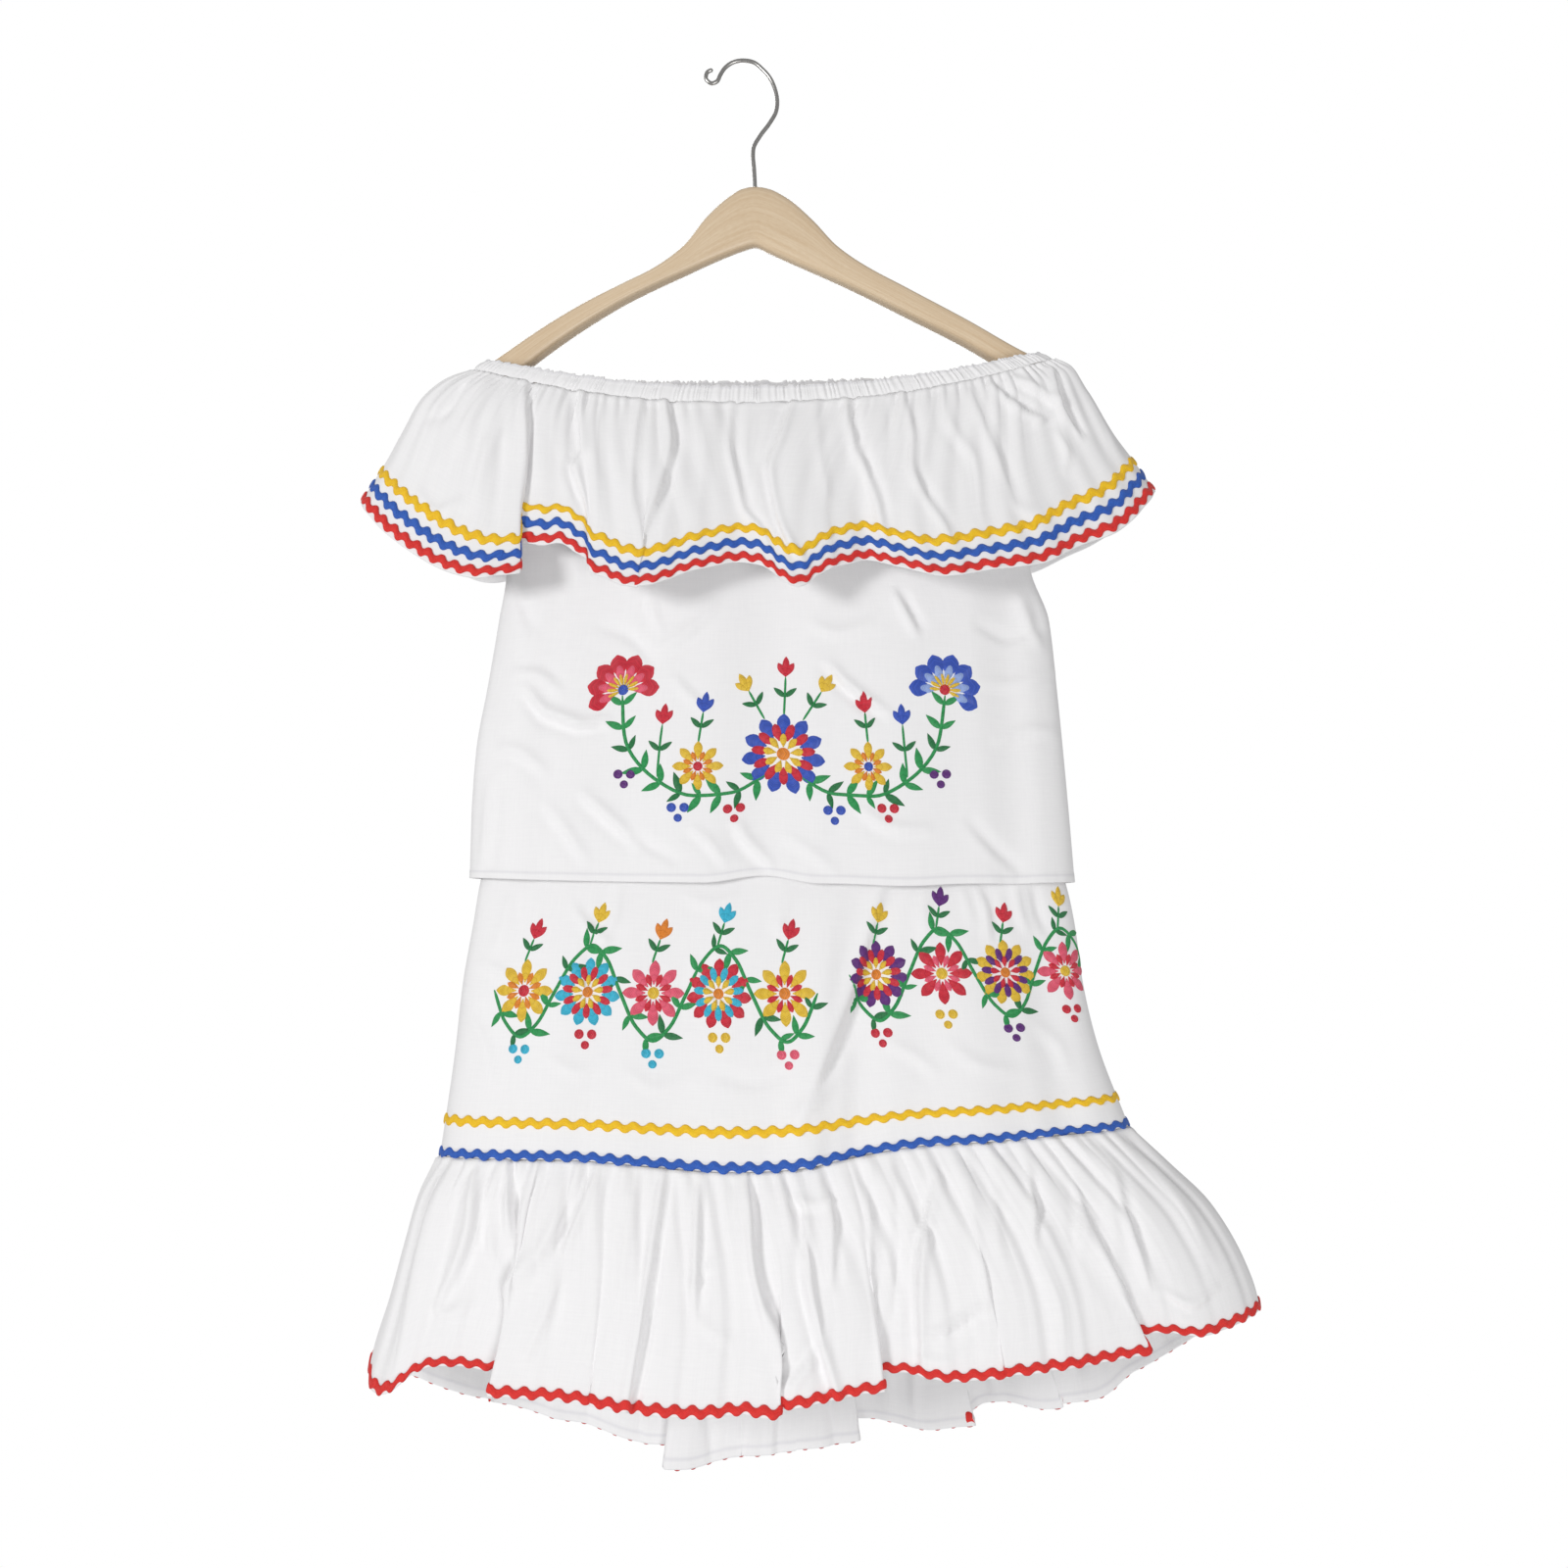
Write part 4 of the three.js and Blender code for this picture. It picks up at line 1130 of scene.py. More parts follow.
@dataclass
class RicRac:
    """Ric-rac braid sewn round a tube of two patches, a wave of even length."""

    garment: str
    colour: str
    front: Patch
    back: Patch
    centre: float
    cloth_half: float
    palette: Palette
    overhang: float = 1.3
    wave: float = 11.5
    swing: float = 1.4
    band: float = 5.6
    thick: float = 1.2
    steps: int = 12

    def build(self) -> bpy.types.Object:
        """The braid as one closed ring, which stands for its plain tape."""
        bottom = 0.06
        rise = ((-0.5, bottom), (-0.46, self.thick * 0.6), (-0.25, self.thick * 0.95), (0.0, self.thick))
        section = (*rise, *((-side, height) for side, height in rise[2::-1]), rise[0])
        halves = []
        total = 0.0
        for patch in (self.front, self.back):
            row = np.full(len(patch.points), self.centre)
            lengths = path_lengths(
                patch.place(np.arange(len(patch.points), dtype=float), row, np.zeros(len(patch.points)))
            )
            halves.append((patch, lengths, total))
            total += lengths[-1]
        waves = round(total / self.wave)
        travel = np.arange(waves * self.steps + 1) / (waves * self.steps) * total
        phase = 2 * np.pi * travel / total * waves
        swing = self.swing * (np.sin(phase) + 0.06 * np.sin(3 * phase))
        points = np.zeros((len(travel), len(section), 3))
        for patch, lengths, start in halves:
            chosen = (travel >= start) & (travel <= start + lengths[-1] + 1e-9)
            column = np.interp(travel[chosen] - start, lengths, np.arange(len(lengths)))
            for k, (side, height) in enumerate(section):
                down = self.centre + swing[chosen] + side * self.band
                lift = np.full(len(column), self.cloth_half + height)
                points[chosen, k] = patch.place(column, np.minimum(down, patch.down[-1] + self.overhang), lift)
        points[-1] = points[0]
        uv = uv_grid(travel, np.array([side * self.band for side, _ in section]))
        return dressed(
            f"{self.garment}_{self.colour}_braid", points, uv, getattr(self.palette, self.colour),
            f"{self.garment}_ricrac_{self.colour}",
        )


@dataclass
class ElasticBand:
    """A band of cloth gathered over elastic, as one closed ring between the two rings of its table."""

    rings: RingTable
    share: Array
    around: int
    corner: float

    def build(
        self, name: str, relief: Callable[[Array, Array], tuple[Array, Array]], cloth: tuple[float, float, float],
        cotton: bpy.types.Material, node: str,
    ) -> bpy.types.Object:
        """Builds and dresses the band.

        Args:
            name: the piece's name.
            relief: turns the section's places across the band and outwards, each from -1 to 1, into how far the
                band reaches there, in band heights, and stands out, in millimetres.
            cloth: fullness of the gathered cloth, and the middle and half height of the band above the hem stitches.
            cotton: its finish.
            node: the solid that it stands for.

        Returns:
            The band.
        """
        low_end = self.rings.length
        turn = EvenTurns(self.rings.at(np.array(low_end))).between(np.array(0.0), np.array(2.0), self.share)
        top, low = (np.stack(on_ring(self.rings.at(np.array(at)), turn), axis=-1) for at in (0.0, low_end))
        middle, down = (top + low) / 2, low - top
        along = np.gradient(middle, axis=0)
        along[0] = along[-1] = (along[1] + along[-2]) / 2
        outward = unit(np.cross(along, down))
        outward *= np.sign(np.sum((outward * (middle - middle.mean(axis=0)))[:, :2], axis=-1, keepdims=True))
        angle = np.linspace(0, 2 * np.pi, self.around + 1)
        flat = signed_power(np.cos(angle), self.corner)[None, :]
        thick = signed_power(np.sin(angle), 0.7)[None, :]
        reach, stand = relief(flat, thick)
        points = middle[:, None] + down[:, None] * (flat * reach)[..., None] + outward[:, None] * (
            thick * stand)[..., None]
        points[-1] = points[0]
        fullness, rise, half = cloth
        return dressed(name, points, uv_grid(path_lengths(middle) * fullness, rise + half * flat[0]), cotton, node)


@dataclass
class Blouse:
    """The off-the-shoulder blouse: neck casing, two body panels and the deep neck flounce with its braids."""

    palette: Palette
    casing_rings: RingTable = RingTable((
        (0, -182, -223.3, 208, -217.6, 20, -245.5, 20, -229, 2.2, 4),
        (12, -191.6, -230, 217.8, -222.7, 22.5, -257.3, 22.5, -240.8, 2.3, 4),
    ))
    flounce_rings: RingTable = RingTable((
        (0, -192.3, -230.6, 218.7, -223.2, 22.7, -257.9, 22.7, -241.4, 2.3, 4),
        (22, -209.8, -236.6, 230.4, -228.2, 30, -279, 29, -262, 2.8, 3.6),
        (45, -227.4, -250.2, 241.8, -245.1, 36.5, -301, 35, -284, 3.4, 3.1),
        (72, -240.7, -273.7, 254.7, -268.8, 43.5, -327, 41, -310, 4.4, 2.7),
        (98.5, -253, -297, 270.3, -290.2, 49.5, -352.3, 46.5, -335.5, 5.6, 2.5),
        (109.7, -258.7, -306.7, 276.7, -299.5, 51.8, -363, 48.5, -346.3, 6.1, 2.5),
        (120.8, -264.5, -316.2, 282.9, -308.7, 54, -373.6, 50.4, -357.2, 6.6, 2.5),
        (130, -269.2, -324.1, 287.9, -316.4, 56, -382, 52, -366, 7, 2.5),
    ))
    body_rings: RingTable = RingTable((
        (0, -189.7, -232.5, 215.7, -224.6, 21.1, -258.3, 21.1, -241.8, 2.3, 4),
        (42, -176, -285, 203, -282, 23.5, -300, 23, -288, 3, 3),
        (68, -170, -322, 200, -321, 24.5, -326, 24, -320, 3, 2.7),
        (88, -167.5, -346, 198, -346, 25.2, -346, 24.5, -344, 3, 2.5),
        (97, -167, -355, 198, -355, 25.6, -355, 25, -354, 3, 2.5),
        (115, -166.5, -373, 200.3, -373, 26.2, -373, 25.5, -373, 3, 2.5),
        (150, -171.3, -408, 212.5, -408, 27.6, -408, 27, -408, 3, 2.5),
        (195, -178.2, -453, 217, -453, 29.2, -453, 28.5, -453, 3, 2.5),
        (242, -185.8, -500, 221, -500, 31, -500, 30, -500, 3, 2.5),
        (289, -188.3, -547, 224.6, -547, 33, -547, 32, -547, 3, 2.5),
        (333, -188.7, -587.5, 227.6, -590.5, 35, -592, 34, -593, 3, 2.5),
    ))
    flounce_folds: dict[Half, tuple[Fold, ...]] = field(default_factory=lambda: {
        Half.FRONT: (
            Fold(-178, 62, 30, 8, 8, 40), Fold(-149, 8, 40, -9, -22, 4), Fold(-120, 22, 24, -6, -15, 2),
            Fold(-72, 34, 50, 9, 14, 12), Fold(-3, 28, 26, -6, -5, 4), Fold(37, 26, 24, 9, 15, -4),
            Fold(84, 21, 21, -9, -6, -14), Fold(134, 36, 58, 5, 8, -26), Fold(190, 36, 40, 2, 3, -34),
            Fold(232, 30, 30, -3, -4, -40),
        ),
        Half.BACK: (
            Fold(-190, 40, 36, 6, 6, 40), Fold(-118, 26, 26, -9, -10, 26), Fold(-52, 36, 34, 8, 9, 12),
            Fold(12, 28, 28, -7, -6, 0), Fold(74, 32, 34, 8, 9, -14), Fold(136, 26, 26, -8, -9, -26),
            Fold(200, 36, 40, 6, 5, -40),
        ),
    })
    flounce_tucks: dict[Half, tuple[Tuck, ...]] = field(default_factory=lambda: {
        Half.FRONT: (Tuck(-153, 12, 9, 6), Tuck(-103, 12, 3.5, -4), Tuck(-70, 10, 5, 12), Tuck(62, 12, 3, -10)),
        Half.BACK: (Tuck(-136, 12, 6, 26), Tuck(-18, 11, 4, 4), Tuck(112, 12, 6, -22)),
    })
    body_folds: dict[Half, tuple[Fold, ...]] = field(default_factory=lambda: {
        Half.FRONT: (
            Fold(-158, 22, 26, 2.5, 0, 14), Fold(-84, 44, 40, -2), Fold(14, 42, 38, -3.5, -5, 6),
            Fold(110, 50, 40, 1.8, 1.5, -10), Fold(186, 26, 20, -2.5, 0.5, -12),
        ),
        Half.BACK: (
            Fold(-120, 46, 40, 2, 1, 12), Fold(-30, 40, 44, -2.5, -2, 4), Fold(60, 40, 40, 2.2, 1, -4),
            Fold(150, 44, 36, -2.5, -1, -12),
        ),
    })
    flounce_creases: dict[Half, tuple[Crease, ...]] = field(default_factory=lambda: {
        Half.FRONT: creases(
            (-161, -245, -171, -282, -176, -290, -187, -328, 7, 2.2, 0.3),
            (-197, -246, -206, -263, -219, -270, 6, -2, 0.2), (-177, -240, -190, -274, -206, -302, 6, 1.8, -0.2),
            (-223, -325, -211, -338, -193, -331, 5, 1.6, 0.2), (-150, -247, -149, -289, -148, -334, 4.5, 2.4, -0.9),
            (-166, -252, -165, -304, -167, -340, 6, -1.3, 0), (-134, -246, -134, -282, -135, -325, 7, 1.2, 0.2),
            (-117, -247, -113, -296, -118, -314, -106, -356, 5, 2.4, 0.9),
            (-97, -250, -99, -282, -94, -347, 7, 1.5, -0.3), (-71, -261, -73, -319, -69, -347, 5, 2, -0.6),
            (-53, -252, -48, -295, -55, -325, -64, -354, 5, 2.4, -0.9),
            (-32, -253, -29, -289, -33, -340, 7, 1.4, 0.3), (-6, -252, -6, -304, 2, -340, 17, -358, 5, 2.2, -0.7),
            (11, -253, 7, -282, 4, -311, 5, -1.4, 0.2),
            (32, -255, 22, -289, 16, -309, 22, -340, 37, -363, 5, 2.2, 0.8),
            (53, -253, 53, -289, 58, -325, 6, 1.2, -0.4), (72, -252, 77, -286, 93, -333, 97, -358, 5, 2.4, -0.8),
            (99, -255, 100, -282, 96, -311, 5, -1.2, 0.2), (112, -252, 118, -282, 118, -311, 139, -347, 5, 2, -0.7),
            (135, -250, 138, -274, 155, -304, 158, -340, 6, 1.6, 0.5),
            (157, -248, 169, -282, 184, -325, 6, 1.8, -0.6), (174, -246, 190, -261, 205, -270, 5, 2.4, -0.8),
            (188, -243, 203, -253, 216, -262, 5, 2.2, 0.7), (217, -235, 221, -262, 233, -280, 5, 2.8, -0.9),
            (193, -279, 204, -276, 216, -270, 4, 1.6, 0.6), (219, -282, 225, -296, 223, -311, 5, 1.6, -0.5),
            (238, -252, 249, -274, 256, -295, 7, 1.5, 0.3), (180, -333, 200, -341, 225, -325, 6, 1.2, 0.2),
        ),
        Half.BACK: creases(
            (-180, -240, -206, -278, -222, -300, 6, 2.2, 0.8), (-150, -242, -158, -289, -176, -336, 6, 2.4, -0.7),
            (-112, -246, -125, -285, -128, -340, 6, 2.1, 0.3), (-76, -246, -75, -296, -84, -330, 5, 2.1, -0.9),
            (-38, -250, -44, -297, -40, -344, 6, 2.1, 0.5), (0, -250, 3, -282, -4, -330, 6, 2, 0.8),
            (40, -250, 38, -303, 46, -340, 6, 2.1, -0.7), (80, -248, 89, -290, 88, -332, 5, -2.1, 0.3),
            (120, -244, 121, -282, 132, -336, 6, 2.2, -0.9), (160, -238, 177, -290, 184, -326, 6, 2.2, 0.5),
            (196, -234, 212, -267, 238, -300, 6, 2.2, 0.8),
        ),
    })
    body_creases: dict[Half, tuple[Crease, ...]] = field(default_factory=lambda: {
        Half.FRONT: creases(
            (-159, -384, -154, -398, -146, -417, 6, -2.2, 0.3),
            (-149, -462, -135, -478, -113, -486, -97, -484, 6, 3.8, 0.8),
            (-154, -444, -138, -447, -124, -458, 6, 2.2, -0.5), (-166, -501, -151, -506, -137, -518, 6, 2.2, 0.6),
            (-135, -541, -123, -556, -109, -577, 6, 2.1, 0.6), (-110, -534, -92, -550, -74, -566, 6, 2.7, 0.7),
            (-78, -558, -62, -569, -45, -578, 5, -1.9, 0.3), (-36, -557, -25, -566, -14, -581, 5, 1.9, 0.6),
            (-7, -556, 1, -569, 16, -586, 6, 2.6, 0.7), (-55, -434, -37, -423, -18, -406, 6, 2.4, 0.5),
            (-100, -417, -79, -424, -63, -442, 6, -1.8, 0.3), (-66, -387, -65, -404, -59, -420, 5, 1.6, 0.4),
            (-46, -451, -36, -462, -24, -473, 5, 1.8, -0.4), (57, -446, 72, -461, 94, -477, 5, 3.2, 0.8),
            (48, -419, 65, -424, 86, -417, 6, 2.1, 0.4), (106, -393, 112, -405, 120, -420, 5, 2.9, -0.7),
            (161, -417, 181, -424, 202, -417, 6, -1.9, 0.4), (165, -458, 190, -457, 214, -447, 6, 1.9, 0.4),
            (193, -390, 199, -410, 207, -427, 7, 2.2, -0.5), (174, -498, 194, -490, 212, -490, 6, 2.2, 0.5),
            (78, -545, 97, -556, 122, -558, 6, 2.1, 0.6), (153, -552, 166, -566, 185, -582, 6, -1.9, 0.5),
            (-171, -525, -172, -552, -174, -578, 6, 2.4, -0.5), (28, -565, 45, -574, 60, -586, 6, 1.6, 0.4),
        ),
        Half.BACK: creases(
            (-130, -390, -140, -488, -140, -570, 8, 2.7, 0.8), (-60, -400, -49, -470, -48, -540, 8, 2.7, -0.7),
            (20, -430, 18, -497, 26, -580, 8, 2.2, 0.3), (96, -390, 97, -483, 88, -560, 8, 2.7, -0.9),
            (160, -420, 163, -500, 176, -580, 8, 2.4, 0.5), (-100, -440, -55, -447, -20, -470, 7, 2.1, 0.8),
            (40, -480, 80, -473, 130, -450, 7, 2.1, -0.7),
        ),
    })
    ripple: float = 1.5
    underarm: float = 97.0
    wall: Wall = Wall(thick=0.6, hem_thick=1.1, hem_height=7.0)

    def flounce_shape(self, half: Half, x: Array, y: Array, column: Array, down: Array) -> tuple[Array, Array]:
        """How far the flounce stands out and drops."""
        out, drop = fold_sum(self.flounce_folds[half], x, down)
        count = 57 if half is Half.FRONT else 37
        waves = [(1 if k % 2 == 0 else -1) * self.ripple * (0.35 + 0.65 * unevenness(k + 7)) for k in range(count)]
        edge = clamp01((np.abs(y) - 6) / 14)
        small = between_columns(waves, column) * np.minimum(1.0, down * 3) * (1 - 0.55 * down)
        lowered = np.minimum(1.0, down / 0.8) ** 2
        return (out * down**1.1 + small) * edge, drop * lowered * edge

    def flounce_relief(self, half: Half, x: Array, z: Array, share: Array, down: Array) -> Array:
        """Small gathers under the casing, and the creases."""
        gathers = Gathers(58 if half is Half.FRONT else 46, 1.9, 34.0, 11 if half is Half.FRONT else 311)
        return gathers.relief(share, down) * clamp01(down / 0.8) + crease_sum(self.flounce_creases[half], x, z, 1.35)

    def body_shape(self, half: Half, x: Array, y: Array, column: Array, down: Array) -> tuple[Array, Array]:
        """How far the body stands out and drops."""
        out, drop = fold_sum(self.body_folds[half], x, down)
        below = clamp01((down * self.body_rings.length - 20) / 100)
        return out * below * clamp01(np.abs(y) / 10), drop * down**3

    def body_relief(self, half: Half, x: Array, z: Array, share: Array, down: Array) -> Array:
        """Creases, and small puckers along the stitched hem."""
        above = self.body_rings.length - down
        pucker = 0.22 * np.sin(share * 300 + 3 * np.sin(share * 41)) * np.exp(-above / 7)
        return crease_sum(self.body_creases[half], x, z, 1.2) + pucker

    def armhole(self, down: Array) -> Array:
        """How far the armhole cuts into each side, in turns."""
        rise = clamp01(1 - down / self.underarm)
        return 0.203 * (1 - (1 - rise) ** 2) ** 0.8

    def build_casing(self) -> bpy.types.Object:
        """The ruched neck casing over its elastic."""
        ridges, steps = 290, 5
        places = range(2 * ridges + 1)
        heights = [0.35 * unevenness(k + 40) if k % 2 == 0 else 0.3 + 0.7 * unevenness(k) for k in places]
        frill = [unevenness(3 * k + 5) for k in places]
        heights[-1], frill[-1] = heights[0], frill[0]
        share = np.arange(ridges * steps + 1) / (ridges * steps)
        uneven = share + 0.0026 * np.sin(2 * np.pi * 23 * share) + 0.0017 * np.sin(2 * np.pi * 47 * share + 1)
        ridge = between_columns(heights, uneven * 2 * ridges)[:, None]
        loose = between_columns(frill, uneven * 2 * ridges)[:, None]

        def relief(flat: Array, thick: Array) -> tuple[Array, Array]:
            """Ragged edges, a dip under the upper edge and a flat lower edge."""
            reach = np.where(flat < 0, 0.40 + 0.20 * loose, 0.50 + 0.16 * loose[::-1])
            waist = 1 - 0.45 * np.exp(-(((flat + 0.45) / 0.16) ** 2)) - 0.55 * clamp01((flat - 0.35) / 0.6)
            return reach, np.where(thick > 0, (0.4 + 1.9 * ridge) * waist, 1.1)

        band = ElasticBand(self.casing_rings, share, 20, 0.55)
        return band.build("blouse_casing_cloth", relief, (1.8, 9.5, 6.2), self.palette.cotton, "blouse_casing")

    def build(self) -> dict[str, Piece]:
        """Builds and dresses the whole blouse."""
        body = ClothTube(self.body_rings, 20, 14, self.body_shape, self.body_relief, armhole=self.armhole)
        flounce = ClothTube(self.flounce_rings, 56, 36, self.flounce_shape, self.flounce_relief, self.flounce_tucks)
        pieces: dict[str, Piece] = {}
        for half, across in ((Half.FRONT, 168), (Half.BACK, 120)):
            patch = body.patch(half, across, hem_steps(self.body_rings.length, 3.0))
            side = half.name.lower()
            pieces["body_" + side] = panel("blouse_" + side, patch, self.wall, self.palette.cotton)
        for half, across in ((Half.FRONT, 500), (Half.BACK, 280)):
            patch = flounce.patch(half, across, hem_steps(self.flounce_rings.length, 2.6))
            side = half.name.lower()
            pieces["flounce_" + side] = panel("blouse_flounce_" + side, patch, self.wall, self.palette.cotton)
        casing = self.build_casing()
        braids = self.build_braids(pieces)
        return pieces

    def build_braids(self, pieces: dict[str, Piece]) -> list[bpy.types.Object]:
        """The three braids along the flounce's edge."""
        front, back = pieces["flounce_front"].patch, pieces["flounce_back"].patch
        single, hem = self.wall.thick / 2, self.wall.hem_thick / 2
        return [
            RicRac("blouse", colour, front, back, centre, half, self.palette).build()
            for colour, centre, half in (("yellow", 103.6, single), ("blue", 114.8, single), ("red", 125.2, hem))
        ]


# ------------------------------------------------------------------------------------------------ skirt
@dataclass
class Skirt:
    """The skirt: elastic waistband, two panels, the gathered hem flounce, three braids and two hanging loops."""

    palette: Palette
    waist_rings: RingTable = RingTable((
        (0, -136, -490, 170, -490, 22, -492, 20, -517, 2.6, 2.5),
        (18, -137, -508, 171, -508, 22, -510, 20, -535, 2.6, 2.5),
    ))
    skirt_rings: RingTable = RingTable((
        (0, -137, -508.6, 171, -508.6, 22, -510.5, 20, -535.6, 2.6, 2.5),
        (38, -162, -545, 196, -545, 25, -547, 23, -574, 2.6, 2.5),
        (78, -180.3, -585, 219.6, -585, 28.2, -586, 26.5, -615, 2.6, 2.5),
        (113, -186, -620, 227.3, -620, 32, -620, 29, -652, 2.6, 2.5),
        (153, -192.3, -660, 232, -658, 36, -661, 33, -694, 2.6, 2.5),
        (198, -196.6, -705, 241, -699, 40, -706, 37, -741, 2.6, 2.5),
        (268, -205.5, -774.7, 261.4, -755, 46, -767.5, 42, -812, 2.6, 2.5),
    ))
    hem_rings: RingTable = RingTable((
        (0, -205.8, -775.1, 261.8, -755.4, 46.2, -768, 42.2, -812.5, 2.6, 2.5),
        (30, -219.4, -801, 289, -780.5, 53, -799, 44.5, -845, 2.6, 2.5),
        (64, -227.8, -831, 316, -807, 58.5, -832, 46.5, -883, 2.7, 2.5),
        (102, -237, -867.5, 336.5, -842, 62.5, -870, 48.5, -927, 2.8, 2.5),
        (136.8, -247.3, -902, 345, -866, 65.5, -906, 50.5, -968, 2.9, 2.5),
        (146, -249, -911.5, 346.3, -874.5, 66.5, -915, 51, -979, 3, 2.5),
    ))
    seam_folds: tuple[Fold, ...] = (Fold(12, 150, 118, 2, 12),)
    skirt_folds: dict[Half, tuple[Fold, ...]] = field(default_factory=lambda: {
        Half.FRONT: (
            Fold(-132, 34, 30, 2.6, 0, 26), Fold(-46, 40, 36, -2.4, 0, 10), Fold(44, 30, 16, 4.5, 0, 22),
            Fold(74, 15, 26, -3, 0, 14), Fold(158, 40, 34, 3, 0, -22), Fold(216, 22, 22, -3, 0, -34),
        ),
        Half.BACK: (
            Fold(-140, 40, 40, 3, 0, 26), Fold(-56, 40, 38, -3, 0, 10), Fold(30, 42, 40, 3.5),
            Fold(112, 38, 40, -3, 0, -18), Fold(196, 40, 34, 3, 0, -34),
        ),
    })
    hem_folds: dict[Half, tuple[Fold, ...]] = field(default_factory=lambda: {
        Half.FRONT: (
            Fold(-238, 20, 26, 3, 13, 26), Fold(-196, 34, 30, -4, -13, 28), Fold(-168, 30, 15, -7, -13, 24),
            Fold(-45, 80, 60, 5, 8, 20), Fold(14, 74, 95, 4, 9, 6), Fold(20, 20, 9, 1.5, 4, 4),
            Fold(93, 10, 48, -8, -8, -14), Fold(174, 12, 74, 4, -1, -34), Fold(268, 10, 38, -6, -9, -60),
        ),
        Half.BACK: (
            Fold(-246, 16, 24, 2, 7, 30), Fold(-150, 80, 70, 3, -9, 24), Fold(-106, 30, 44, 2, -5, 18),
            Fold(-46, 12, 50, -8, 14, 12), Fold(12, 60, 60, -4, 7, 4), Fold(60, 34, 26, -3, 3, 0),
            Fold(85, 10, 50, 5, -11, -14), Fold(171, 10, 50, 6, -11, -34), Fold(212, 30, 30, -3, 2, -44),
            Fold(250, 34, 22, -4, 6, -60),
        ),
    })
    hem_tucks: dict[Half, tuple[Tuck, ...]] = field(default_factory=lambda: {
        Half.FRONT: (
            Tuck(-159, 12, 9, 24), Tuck(-96, 10, 3, 12), Tuck(24, 10, 5, 4), Tuck(88, 12, 8.5, -14),
            Tuck(170, 12, 6, -30), Tuck(262, 12, 8, -56),
        ),
        Half.BACK: (
            Tuck(-176, 12, 5, 26), Tuck(-53, 12, 9, 12), Tuck(-2, 10, 3, 4), Tuck(36, 10, 3, 0), Tuck(78, 12, 8, -12),
            Tuck(159, 12, 8, -30), Tuck(222, 12, 5, -50),
        ),
    })
    skirt_creases: dict[Half, tuple[Crease, ...]] = field(default_factory=lambda: {
        Half.FRONT: creases(
            (97, -596, 87, -629, 75, -665, 60, -701, 44, -739, 9, 3.2, -0.8),
            (66, -705, 53, -723, 35, -734, 7, 2, 0.5), (161, -596, 166, -611, 167, -628, 5, 2, -0.6),
            (182, -595, 184, -611, 189, -624, 5, 1.8, 0.5), (196, -595, 199, -611, 205, -625, 5, -1.6, 0.4),
            (146, -596, 149, -607, 152, -620, 5, 1.2, 0.3), (126, -596, 124, -611, 126, -630, 7, 1.5, -0.4),
            (-86, -599, -91, -617, -101, -634, 6, 1.8, 0.6), (-111, -607, -101, -620, -88, -629, 5, 1.5, -0.6),
            (-101, -633, -106, -650, -100, -667, 5, -1.3, 0.3), (-30, -643, -23, -663, -10, -673, 6, 1.6, -0.6),
            (-38, -604, -22, -608, -5, -603, 6, 1.3, 0.4), (-178, -647, -163, -656, -155, -669, 6, 1.6, 0.6),
            (-182, -678, -171, -695, -166, -720, 7, 1.5, -0.5), (-128, -711, -108, -719, -92, -709, 6, 1.5, 0.4),
            (-76, -718, -58, -727, -34, -719, 6, 1.3, 0.4), (-18, -715, 8, -720, 28, -715, 6, -1.2, 0.3),
            (96, -700, 112, -708, 126, -719, 6, 1.4, 0.5), (138, -696, 157, -709, 183, -714, 7, 1.3, -0.4),
            (196, -689, 209, -701, 215, -718, 7, 1.4, 0.4), (-157, -604, -159, -624, -165, -638, 7, 1.4, -0.4),
            (28, -599, 21, -617, 28, -633, 8, 1.3, 0.4),
        ),
        Half.BACK: creases(
            (-120, -640, -130, -718, -130, -780, 8, 2, 0.8), (-40, -640, -33, -715, -36, -790, 8, 1.8, -0.7),
            (40, -650, 40, -712, 50, -790, 8, 1.8, 0.3), (130, -640, 145, -718, 150, -780, 8, 1.8, -0.9),
            (-90, -700, -55, -715, -10, -730, 7, 1.3, 0.5),
        ),
    })
